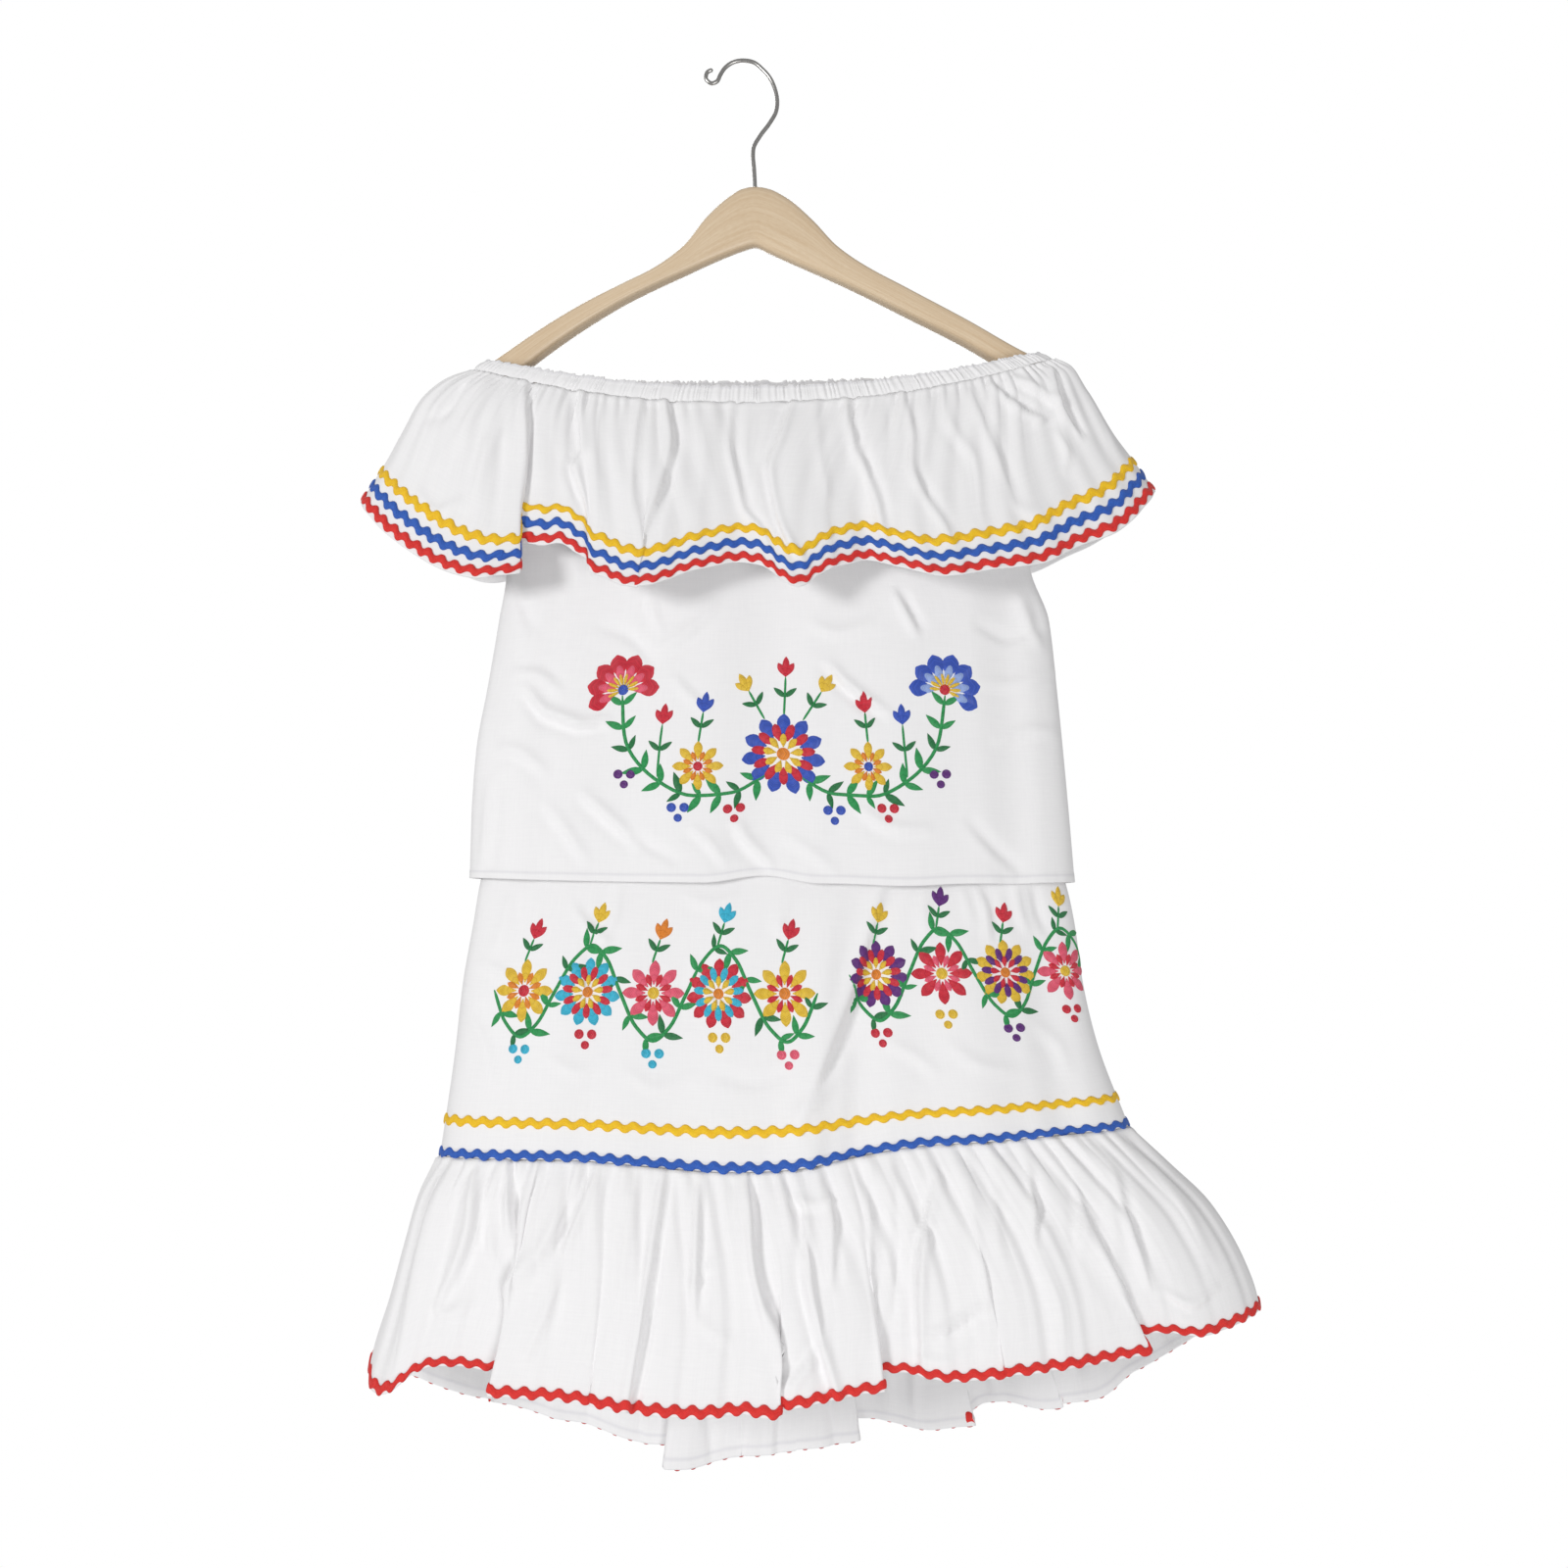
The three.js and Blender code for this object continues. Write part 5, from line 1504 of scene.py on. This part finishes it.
    hem_creases: dict[Half, tuple[Crease, ...]] = field(default_factory=lambda: {
        Half.FRONT: creases(
            (-199, -770, -213, -820, -225, -891, 8, 2.4, 0.4),
            (-174, -775, -175, -820, -185, -850, -194, -868, 7, 3.6, -0.7),
            (-204, -874, -193, -881, -177, -875, 6, 2, 0.3), (-165, -783, -168, -820, -159, -856, 5, 1.6, 0.4),
            (-153, -772, -151, -801, -150, -838, 4, 3, -0.9),
            (-138, -777, -148, -813, -151, -850, -159, -904, 5, 2.4, 0.8),
            (-106, -787, -124, -826, -148, -862, -161, -900, 7, 2.6, -0.5),
            (-97, -778, -108, -807, -120, -838, 5, 2.2, 0.8), (-116, -850, -125, -874, -135, -897, 6, 1.8, -0.5),
            (-74, -795, -76, -820, -79, -856, 6, 1.6, 0.4),
            (-50, -786, -56, -838, -66, -897, -71, -928, 5, 3.2, -0.9),
            (-26, -787, -26, -820, -27, -856, 4.5, 2.6, -0.8), (-31, -850, -24, -838, -17, -830, 4, 1.6, 0.5),
            (-28, -868, -16, -875, -6, -879, 5, 1.2, 0.5), (6, -777, 11, -832, 25, -885, 28, -926, 5, 3.4, -0.9),
            (-8, -783, -4, -813, 0, -850, 6, 1.4, 0.3), (31, -789, 47, -796, 59, -793, 5, 1.8, 0.6),
            (40, -798, 41, -850, 56, -903, 63, -925, 5, 3, 0.8), (59, -787, 61, -813, 60, -844, 5, 2.2, -0.7),
            (25, -909, 36, -896, 48, -882, 5, 2, -0.7), (84, -789, 88, -838, 86, -874, 84, -903, 5, 2.6, -0.5),
            (100, -783, 100, -838, 95, -891, 5, -2, 0.3), (124, -786, 114, -832, 114, -903, 5, 2.8, 0.8),
            (118, -885, 135, -877, 153, -866, 4.5, 2.4, 0.7), (109, -894, 127, -895, 146, -884, 5, 1.4, -0.5),
            (146, -792, 152, -838, 152, -868, 156, -902, 6, 1.8, 0.3),
            (168, -783, 166, -807, 168, -832, 5, 1.6, -0.3), (190, -780, 192, -801, 191, -822, 4.5, 2.2, -0.8),
            (216, -789, 218, -807, 217, -830, 5, 1.8, 0.7), (192, -826, 206, -862, 208, -897, 7, 1.8, -0.4),
            (220, -820, 241, -856, 259, -885, 7, 2.2, 0.5),
            (248, -786, 256, -820, 262, -838, 266, -853, 5, 2.6, -0.6),
            (236, -789, 242, -826, 246, -856, 250, -874, 6, 1.6, 0.4),
            (270, -783, 288, -807, 303, -838, 7, 1.8, 0.3), (276, -862, 292, -868, 310, -859, 5, 1.8, 0.5),
        ),
        Half.BACK: creases(
            (-180, -800, -197, -868, -204, -920, 6, 2.5, 0.8), (-146, -816, -146, -878, -156, -940, 6, 2.5, -0.7),
            (-104, -824, -113, -884, -112, -960, 6, 2.3, 0.3), (-66, -830, -63, -906, -70, -966, 5, 2.5, -0.9),
            (-24, -830, -30, -905, -26, -980, 6, 2.5, 0.5), (16, -830, 23, -895, 20, -976, 6, 2.5, 0.8),
            (60, -828, 58, -908, 66, -972, 6, 2.5, -0.7), (104, -822, 116, -889, 118, -956, 5, -2.3, 0.3),
            (146, -816, 154, -875, 172, -950, 6, 2.5, -0.9), (190, -804, 216, -878, 232, -936, 6, 2.5, 0.5),
            (222, -790, 249, -845, 286, -900, 6, 2.5, 0.8),
        ),
    })
    pleat_profile: tuple[float, ...] = (-1, 0.1, 0.75, 1)
    pleats: dict[Half, int] = field(default_factory=lambda: {Half.FRONT: 22, Half.BACK: 14})
    pleat_depth: float = 2.6
    pleat_open: float = 0.85
    wall: Wall = Wall(thick=0.6)
    hem_wall: Wall = Wall(thick=0.6, hem_thick=1.1, hem_height=7.0)

    def skirt_shape(self, half: Half, x: Array, y: Array, column: Array, down: Array) -> tuple[Array, Array]:
        """How far the skirt stands out and its seam drops."""
        out, _ = fold_sum(self.skirt_folds[half], x, down)
        seam_out, seam_drop = fold_sum(self.seam_folds if half is Half.FRONT else (), x, 1.0)
        edge = clamp01((np.abs(y) - 4) / 12)
        shown = clamp01((down - 0.3) / 0.3)
        return (out * shown + seam_out * down**4) * edge, seam_drop * down**4

    def skirt_relief(self, half: Half, x: Array, z: Array, share: Array, down: Array) -> Array:
        """Gathers under the elastic, and the creases."""
        gathers = Gathers(34, 1.5, 34.0, 500 if half is Half.FRONT else 800)
        return gathers.relief(share, down) * clamp01(down / 2.0) + crease_sum(self.skirt_creases[half], x, z, 1.3)

    def hem_shape(self, half: Half, x: Array, y: Array, column: Array, down: Array) -> tuple[Array, Array]:
        """How far the hem flounce stands out and drops: large folds, pleats and the curve of its seam."""
        out, drop = fold_sum(self.hem_folds[half], x, down)
        seam_out, seam_drop = fold_sum(self.seam_folds if half is Half.FRONT else (), x, 1.0)
        count = self.pleats[half] * 4 + 1
        first = 3 if half is Half.FRONT else 40
        depths = [self.pleat_depth * (0.45 + 0.55 * unevenness(k // 4 + first)) for k in range(count)]
        rises = [self.pleat_profile[k % 4] * depths[k] for k in range(count)]
        opens = [unevenness(k // 4 + 90) for k in range(count)]
        opened = 1 - self.pleat_open * between_columns(opens, column) * down
        fold = between_columns(rises, column) * opened * clamp01(down * 8) * (1 - 0.45 * down)
        edge = clamp01((np.abs(y) - 6) / 16)
        total = out * down**1.1 + fold + seam_out * (1 - down)
        return total * edge, drop * down**2 * edge + seam_drop * (1 - down) ** 2

    def hem_relief(self, half: Half, x: Array, z: Array, share: Array, down: Array) -> Array:
        """Small gathers under the seam, and the creases."""
        gathers = Gathers(42 if half is Half.FRONT else 36, 2.1, 42.0, 1200 if half is Half.FRONT else 1500)
        return gathers.relief(share, down) * clamp01(down / 2.0) + crease_sum(self.hem_creases[half], x, z, 1.4)

    def build(self) -> dict[str, Piece]:
        """Builds and dresses the whole skirt."""
        tube = ClothTube(self.skirt_rings, 24, 18, self.skirt_shape, self.skirt_relief)
        flounce = ClothTube(self.hem_rings, self.pleats[Half.FRONT] * 4, self.pleats[Half.BACK] * 4,
                            self.hem_shape, self.hem_relief, self.hem_tucks)
        pieces: dict[str, Piece] = {}
        for half, across in ((Half.FRONT, 168), (Half.BACK, 120)):
            patch = tube.patch(half, across, even_steps(self.skirt_rings.length, 3.0))
            name = "skirt_" + half.name.lower()
            pieces[name] = panel(name, patch, self.wall, self.palette.cotton)
        for half, across in ((Half.FRONT, 560), (Half.BACK, 340)):
            patch = flounce.patch(half, across, hem_steps(self.hem_rings.length, 3.0))
            name = "flounce_" + half.name.lower()
            pieces[name] = panel("skirt_" + name, patch, self.hem_wall, self.palette.cotton)
        band = self.build_waistband()
        upper, lower = self.build_braids(pieces)
        loops = [self.build_loop(side) for side in ("left", "right")]
        return pieces

    def build_waistband(self) -> bpy.types.Object:
        """The elastic waistband with its ruching."""
        ridges, steps = 90, 6
        heights = [0.0 if k % 2 == 0 else 0.5 + 0.5 * unevenness(k + 900) for k in range(2 * ridges + 1)]
        heights[-1] = heights[0]
        share = np.arange(ridges * steps + 1) / (ridges * steps)
        ridge = between_columns(heights, share * 2 * ridges)[:, None]
        band = ElasticBand(self.waist_rings, share, 12, 0.5)
        return band.build(
            "skirt_waistband_cloth", lambda flat, thick: (0.49, np.where(thick > 0, 0.8 + ridge, 1.1)),
            (1.6, 30.0, 9.0), self.palette.cotton, "skirt_waistband",
        )

    def build_braids(self, pieces: dict[str, Piece]) -> tuple[list[bpy.types.Object], list[bpy.types.Object]]:
        """The yellow and blue braids above the seam, and the red one at the hem."""
        made = []
        for colour, part, centre, half, overhang in (
            ("yellow", "skirt", 243.6, self.wall.thick / 2, 2.2), ("blue", "skirt", 265.6, self.wall.thick / 2, 2.2),
            ("red", "flounce", 142.8, self.hem_wall.hem_thick / 2, 1.3),
        ):
            front, back = pieces[part + "_front"].patch, pieces[part + "_back"].patch
            made.append(RicRac("skirt", colour, front, back, centre, half, self.palette, overhang).build())
        return made[:2], made[2:]

    def build_loop(self, side: str) -> bpy.types.Object:
        """A hanging loop of cotton tape, from the waistband's front over the hanger's arm to its back."""
        sign = -1 if side == "left" else 1
        x, bend, foot, arm, top, tilt = (
            (-200.5, -150, -122, 9.3, -238.8, 35.4) if side == "left" else (223.4, 181, 156, 9.4, -230.7, -37.1)
        )
        clear = 0.8
        leg_y = arm + clear
        middle = 17.0
        ends = 153.0
        across = (foot - middle) / ends
        turn = math.acos(math.copysign(abs(across) ** 1.25, across)) / math.pi
        ring = self.waist_rings.at(np.array(0.0))

        def leg(front: int) -> list[tuple[float, float, float, float]]:
            """Stations of one leg, as x, y, z and tilt."""
            _, y, z = on_ring(ring, np.array(2 - turn if front < 0 else turn))
            return [
                (foot, float(y), float(z) + 1.9, 0),
                (bend, front * 6, -345, -sign * 12),
                (x + sign * 0.5, front * leg_y, top - 26, tilt * 0.75),
                (x, front * leg_y, top - 2, tilt),
                (x, front * (leg_y - 1.4), top + clear / math.cos(math.radians(tilt)), tilt),
            ]

        stations = np.array(leg(-1) + leg(1)[::-1], float)
        places = path_lengths(stations[:, :3])
        wanted = np.unique(np.concatenate([np.linspace(0, places[-1], 90), places]))
        x_, y_, z_, tilt_ = (through(places, stations[:, k], wanted) for k in range(4))
        centre = np.stack([x_, y_, z_], axis=-1)
        tangent = unit(np.gradient(centre, wanted, axis=0))
        wide = np.stack([np.cos(np.radians(tilt_)), 0 * tilt_, np.sin(np.radians(tilt_))], axis=-1)
        face = unit(np.cross(tangent, wide))
        section = (
            (-4, 0.0), (-3.6, 0.42), (0, 0.5), (3.6, 0.42),
            (4, 0.0), (3.6, -0.42), (0, -0.5), (-3.6, -0.42), (-4, 0.0),
        )
        points = np.stack([centre + wide * w + face * t for w, t in section], axis=1)
        uv = uv_grid(wanted, np.array([30 + w for w, _ in section]))
        return dressed(f"skirt_loop_{side}_tape", points, uv, self.palette.cotton, "skirt_loop_" + side)


# ------------------------------------------------------------------------------------------------ hanger
@dataclass
class Hanger:
    """The wooden hanger: a beech bow with rounded edges and a nickel wire hook with a small eye."""

    palette: Palette
    sections: tuple[tuple[float, float, float, float], ...] = (
        (-224, -258, -267, 7.0), (-217, -250.5, -273, 9.4), (-180, -224.2, -247.5, 9.0),
        (-140, -195.9, -215.3, 8.6), (-113, -179.3, -195.9, 8.2), (-86.6, -165.4, -179.3, 7.8),
        (-65, -154.2, -168, 7.6), (-43.5, -137.4, -158, 7.5), (-27.5, -116.4, -150.5, 7.5),
        (-11, -101, -143.2, 7.5), (-1, -95.2, -139.4, 7.5), (7, -94, -137.2, 7.5), (16, -95.4, -141.2, 7.5),
        (29.7, -102.4, -147.6, 7.5), (48.5, -119.2, -156, 7.5), (64.8, -137.4, -163.3, 7.6),
        (83.7, -151.4, -172.4, 7.8), (116, -169.5, -189, 8.2), (156.3, -191.8, -210, 8.6),
        (200.5, -217.4, -238, 9.0), (213, -222.8, -246, 9.2), (227, -233.4, -253, 9.4), (233, -241, -249, 7.0),
    )
    wire: tuple[tuple[float, float], ...] = (
        (6.8, -93.6), (6.1, -79.7), (5.3, -69.3), (5.6, -64.4), (10.3, -55.1), (17.4, -45.2), (21.8, -36.8),
        (22.6, -27.4), (21.1, -20.0), (17.6, -11.8), (11.6, -4.6), (5.6, 0.2), (0, 1.5), (-5.4, 1.3),
        (-10.4, -0.4), (-14.6, -3.6), (-18.2, -9.0), (-20.9, -14.2), (-24.6, -15.6), (-28.6, -12.2),
        (-27.6, -7.2), (-23.6, -5.2),
    )
    wire_radius: float = 1.5

    def build_wood(self) -> bpy.types.Object:
        """The bow, lofted through its sections, with rounded edges and rounded ends."""
        table = np.array(self.sections, float)
        x = np.linspace(table[0, 0], table[-1, 0], 150)
        top, bottom, half = (through(table[:, 0], table[:, k], x) for k in (1, 2, 3))
        end = np.minimum(x - x[0], x[-1] - x) / 5.0
        close = np.sqrt(clamp01(end + 0.02) * (2 - clamp01(end + 0.02)))
        angle = np.linspace(0, 2 * np.pi, 29)
        wide = signed_power(np.cos(angle), 0.52)
        tall = signed_power(np.sin(angle), 0.52)
        y = wide[None, :] * (half * close)[:, None] * 0.985
        z = (top + bottom)[:, None] / 2 + tall[None, :] * ((top - bottom) / 2 * close)[:, None]
        points = np.stack([np.broadcast_to(x[:, None], y.shape), y, z], axis=-1)
        around = np.cumsum(np.abs(np.diff(wide, prepend=wide[0])) * 8 + np.abs(np.diff(tall, prepend=tall[0])) * 11)
        middle = (top + bottom) / 2
        slope = np.gradient(middle, x)
        travel = path_lengths(np.stack([x, middle], axis=-1))
        grain = travel[:, None] + 0.35 * slope[:, None] * (z - z.mean(axis=1, keepdims=True))
        uv = np.stack(np.broadcast_arrays(grain * MM, around[None, :] * MM), axis=-1)
        return dressed("hanger_bow", points, uv, self.palette.beech, "hanger_wood")

    def build_hook(self) -> bpy.types.Object:
        """The hook: round wire along its bends, with a rounded tip."""
        line = np.array(self.wire, float)
        spans = path_lengths(line)
        wanted = np.linspace(0, spans[-1], 240)
        x, z = (self.smooth(spans, line[:, k], wanted) for k in (0, 1))
        centre = np.stack([x, 0 * wanted, z], axis=-1)
        tangent = unit(np.gradient(centre, wanted, axis=0))
        side = np.array([0.0, 1.0, 0.0])
        up = np.cross(tangent, side)
        to_tip = clamp01((wanted[-1] - wanted) / self.wire_radius)
        radius = self.wire_radius * np.sqrt(1 - (1 - to_tip) ** 2 * 0.98)
        angle = np.linspace(0, 2 * np.pi, 17)
        points = (
            centre[:, None] + side[None, None, :] * (radius[:, None] * np.cos(angle)[None, :])[..., None]
            + up[:, None] * (radius[:, None] * np.sin(angle)[None, :])[..., None]
        )
        uv = uv_grid(wanted, angle * self.wire_radius)
        return dressed("hanger_wire", points, uv, self.palette.nickel, "hanger_hook")

    @staticmethod
    def smooth(places: Array, values: Array, wanted: Array) -> Array:
        """A curve through points that keeps its bend at each of them."""
        slope = np.gradient(values, places)
        row = np.clip(np.searchsorted(places, wanted, "right") - 1, 0, len(places) - 2)
        step = places[row + 1] - places[row]
        t = (wanted - places[row]) / step
        start = (1 + 2 * t) * (1 - t) ** 2 * values[row] + t * (1 - t) ** 2 * step * slope[row]
        return start + t * t * (3 - 2 * t) * values[row + 1] + t * t * (t - 1) * step * slope[row + 1]

    def build(self) -> list[bpy.types.Object]:
        """Builds the wood and the hook."""
        return [self.build_wood(), self.build_hook()]


# ------------------------------------------------------------------------------------------------ gardens
@dataclass
class Gardens:
    """Folk flowers in satin stitch: a garland on the blouse and two winding vines on the skirt."""

    palette: Palette
    blouse: Piece
    skirt: Piece
    cloth_half: float = 0.3
    blouse_top: float = -258.0
    skirt_top: float = -508.0
    step: float = 44.0
    swing: float = 30.0
    rosette: tuple[tuple[float, ...], ...] = ((11, 0.44, 0.56, 0.33), (11, 0.33, 0.44, 0.27), (9, 0.17, 0.34, 0.19))
    daisy: tuple[tuple[float, ...], ...] = ((8, 0.26, 0.74, 0.36), (8, 0.2, 0.42, 0.2))

    def book(self, name: str, piece: Piece, top: float, middle: float) -> tuple[StitchBook, Callable[[float], float]]:
        """A stitch book, and the function that turns a height of the frame into its own."""
        return StitchBook(name, piece.patch, self.cloth_half, middle), lambda z: z - top

    def vine(self, book: StitchBook, line: Sequence[tuple[float, float]], leaves: int, length: float) -> None:
        """A leafy vine in two greens."""
        book.leaf_pairs(line, leaves, length, (Dye.LEAF, Dye.DEEP_GREEN, Dye.LEAF))
        book.stem(line, 2.4, Dye.LEAF)

    def bloom(self, book: StitchBook, x: float, y: float, size: float, dyes: Sequence[Dye]) -> None:
        """A round flower of three rings for four dyes, or a daisy of two for three; the last dye is its middle's."""
        shapes, core = (self.rosette, 0.16) if len(dyes) == 4 else (self.daisy, 0.19)
        rings = [
            (count, inner * size, length * size, width * size, dye)
            for (count, inner, length, width), dye in zip(shapes, dyes)
        ]
        book.flower(x, y, rings, (core * size, dyes[-1]))

    def bud(self, book: StitchBook, foot: tuple[float, float], head: tuple[float, float], dye: Dye) -> None:
        """A bud of three petals on a thin stalk with two leaves."""
        turn = math.degrees(math.atan2(head[1] - foot[1], head[0] - foot[0]))
        middle = ((foot[0] + head[0]) / 2, (foot[1] + head[1]) / 2)
        book.stem([foot, middle, head], 1.6, Dye.LEAF, 0.4)
        for side in (-1, 1):
            book.petal(*middle, turn + side * 52, 10, 3.8, Dye.DEEP_GREEN, 0.42)
            book.petal(*head, turn + side * 30, 11, 4.6, dye)
        book.petal(*head, turn, 14, 5, dye)

    def berries(self, book: StitchBook, x: float, y: float, dye: Dye) -> None:
        """Three padded dots, close together."""
        for across, down, radius in ((-4.2, 0.0, 3.2), (4.2, 0.0, 3.2), (0.0, -7.0, 2.8)):
            book.knot(x + across, y + down, radius, dye, 1.1)

    def build_garland(self) -> bpy.types.Object:
        """The blouse's garland: a low round flower between two leafy arms, which rise to a half flower each."""
        book, up = self.book("blouse_embroidery", self.blouse, self.blouse_top, 215)
        centre = 28
        for sign, dye, light, accent in ((-1, Dye.RED, Dye.PINK, Dye.BLUE), (1, Dye.BLUE, Dye.PALE_BLUE, Dye.RED)):
            arm = [(centre + sign * x, up(z)) for x, z in (
                (10, -520), (34, -532), (60, -533), (86, -521), (106, -496), (112, -464),
            )]
            self.vine(book, arm, 10, 13)
            self.bloom(book, centre + sign * 57, up(-513), 17, (Dye.YELLOW, Dye.ORANGE, dye))
            for foot, head, colour in (
                ((57, -497), (55, -476), accent), ((84, -520), (82, -484), dye), ((13, -482), (25, -462), Dye.YELLOW),
            ):
                self.bud(book, (centre + sign * foot[0], up(foot[1])), (centre + sign * head[0], up(head[1])), colour)
            for x, z, colour in ((33, -543, dye), (70, -541, accent), (106, -518, Dye.PURPLE)):
                self.berries(book, centre + sign * x, up(z), colour)
            book.flower(
                centre + sign * 112, up(-460),
                ((7, 8, 17, 12, dye), (7, 5, 13, 6.6, light), (9, 2.5, 9, 2.8, Dye.YELLOW)),
                (3.8, accent), 90 - sign * 16, 205,
            )
        self.bud(book, (centre, up(-480)), (centre, up(-452)), Dye.RED)
        self.bloom(book, centre, up(-506), 28, (Dye.BLUE, Dye.RED, Dye.YELLOW, Dye.ORANGE))
        return book.finish(self.palette.threads)

    def build_scroll(
        self, name: str, start: float, middle: float, blooms: Sequence[tuple[Sequence[Dye], Dye, Dye]],
    ) -> bpy.types.Object:
        """A vine on the skirt that winds over and under its flowers.

        Args:
            name: the piece's name.
            start: place of the first flower across.
            middle: height of the flowers in the frame.
            blooms: for each flower its own dyes (four, or three for a daisy), its bud's and its berries'.

        Returns:
            The embroidery.
        """
        book, up = self.book(name, self.skirt, self.skirt_top, 150)
        y = up(middle)
        quarters = np.arange(-2, 4 * len(blooms) - 1)
        winding = [(start + q * self.step / 4, y - self.swing * math.cos(math.pi * q / 4)) for q in quarters]
        self.vine(book, winding, 4 * len(blooms), 12)
        for k, (dyes, bud, berry) in enumerate(blooms):
            x = start + k * self.step
            above, below = (19, self.swing) if k % 2 == 0 else (self.swing, 19)
            self.bud(book, (x - 2, y + above), (x + 2, y + above + 15), bud)
            self.berries(book, x, y - below - 8, berry)
            self.bloom(book, x, y, 22 if len(dyes) == 4 else 20.5, dyes)
        return book.finish(self.palette.threads)

    def build(self) -> list[bpy.types.Object]:
        """Builds the garland and the two vines."""
        return [
            self.build_garland(),
            self.build_scroll("skirt_embroidery_left", -148, -664, (
                ((Dye.YELLOW, Dye.ORANGE, Dye.RED), Dye.RED, Dye.TURQUOISE),
                ((Dye.TURQUOISE, Dye.RED, Dye.YELLOW, Dye.ORANGE), Dye.YELLOW, Dye.RED),
                ((Dye.PINK, Dye.RED, Dye.YELLOW), Dye.ORANGE, Dye.TURQUOISE),
                ((Dye.RED, Dye.TURQUOISE, Dye.YELLOW, Dye.ORANGE), Dye.TURQUOISE, Dye.YELLOW),
                ((Dye.YELLOW, Dye.RED, Dye.ORANGE), Dye.RED, Dye.PINK),
            )),
            self.build_scroll("skirt_embroidery_right", 94, -653, (
                ((Dye.PURPLE, Dye.RED, Dye.YELLOW, Dye.ORANGE), Dye.YELLOW, Dye.RED),
                ((Dye.RED, Dye.PINK, Dye.YELLOW), Dye.PURPLE, Dye.YELLOW),
                ((Dye.YELLOW, Dye.PURPLE, Dye.RED, Dye.ORANGE), Dye.RED, Dye.PURPLE),
                ((Dye.PINK, Dye.RED, Dye.YELLOW), Dye.YELLOW, Dye.RED),
            )),
        ]


# ------------------------------------------------------------------------------------------------ studio
@dataclass
class Studio:
    """A pale floor, soft lights and the camera."""

    floor_z: float = -1.42
    floor_radius: float = 0.75
    camera_place: tuple[float, float, float] = (0.02757, -1.150, -0.62317)
    camera_rise: float = 5.0142
    lens: float = 38.198
    sensor: float = 36.0

    def build_floor(self) -> bpy.types.Object:
        """A round pale floor."""
        bm = bmesh.new()
        bmesh.ops.create_circle(bm, cap_ends=True, segments=96, radius=self.floor_radius)
        bmesh.ops.translate(bm, verts=bm.verts, vec=(0.03, 0.0, self.floor_z))
        mesh = bpy.data.meshes.new("studio_floor")
        bm.to_mesh(mesh)
        bm.free()
        material = bpy.data.materials.new("pale_floor")
        material.use_nodes = True
        graph = Graph(material.node_tree)
        shader = material.node_tree.nodes["Principled BSDF"]
        place = graph.node("ShaderNodeTexCoord")
        noise = graph.node("ShaderNodeTexNoise", Scale=14.0, Detail=4.0)
        graph.link(place.outputs["Object"], noise.inputs["Vector"])
        graph.link(graph.maths("MULTIPLY_ADD", noise.outputs[0], 0.1, 0.7), shader.inputs["Roughness"])
        shader.inputs["Base Color"].default_value = (0.86, 0.86, 0.87, 1)
        mesh.materials.append(material)
        floor = bpy.data.objects.new("studio_floor", mesh)
        bpy.context.scene.collection.objects.link(floor)
        return floor

    def light(self, name: str, place: Sequence[float], target: Sequence[float], size: float, power: float) -> None:
        """A soft square light that looks at a place."""
        lamp = bpy.data.lights.new(name, "AREA")
        lamp.size = size
        lamp.energy = power
        made = bpy.data.objects.new(name, lamp)
        bpy.context.scene.collection.objects.link(made)
        made.location = place
        direction = np.subtract(target, place)
        made.rotation_euler = Vector(direction).to_track_quat("-Z", "Y").to_euler()

    def build_world(self) -> None:
        """A white surround, which lights the cloth a little less than it shows."""
        scene = bpy.context.scene
        world = bpy.data.worlds.new("white_surround")
        world.use_nodes = True
        scene.world = world
        graph = Graph(world.node_tree)
        background = world.node_tree.nodes["Background"]
        path = graph.node("ShaderNodeLightPath")
        strength = graph.maths("MULTIPLY_ADD", path.outputs["Is Camera Ray"], 0.61, 0.39)
        graph.link(strength, background.inputs["Strength"])
        background.inputs["Color"].default_value = (1, 1, 1, 1)
        scene.view_settings.view_transform = "Standard"

    def build_camera(self) -> None:
        """The camera, a little below the middle of the garment and pitched up."""
        lens = bpy.data.cameras.new("studio_camera")
        lens.lens = self.lens
        lens.sensor_width = self.sensor
        lens.clip_start, lens.clip_end = 0.01, 50
        camera = bpy.data.objects.new("studio_camera", lens)
        bpy.context.scene.collection.objects.link(camera)
        camera.location = self.camera_place
        camera.rotation_euler = (math.radians(90 + self.camera_rise), 0, 0)
        bpy.context.scene.camera = camera

    def build(self) -> None:
        """Builds the whole studio."""
        self.build_floor()
        self.build_world()
        middle = (0.03, 0.0, -0.55)
        self.light("key", (-2.0, -2.2, -0.2), middle, 0.7, 37)
        self.light("fill", (1.1, -2.2, -1.5), middle, 1.2, 20)
        self.light("back", (-0.4, 1.8, 0.5), middle, 1.4, 24)
        self.build_camera()


def main() -> None:
    """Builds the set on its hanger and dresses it."""
    logging.basicConfig(level=logging.INFO, format="%(message)s")
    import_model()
    palette = Palette.build()
    Hanger(palette).build()
    blouse = Blouse(palette).build()
    skirt = Skirt(palette).build()
    Gardens(palette, blouse["body_front"], skirt["skirt_front"]).build()
    Studio().build()


if __name__ == "__main__":
    main()
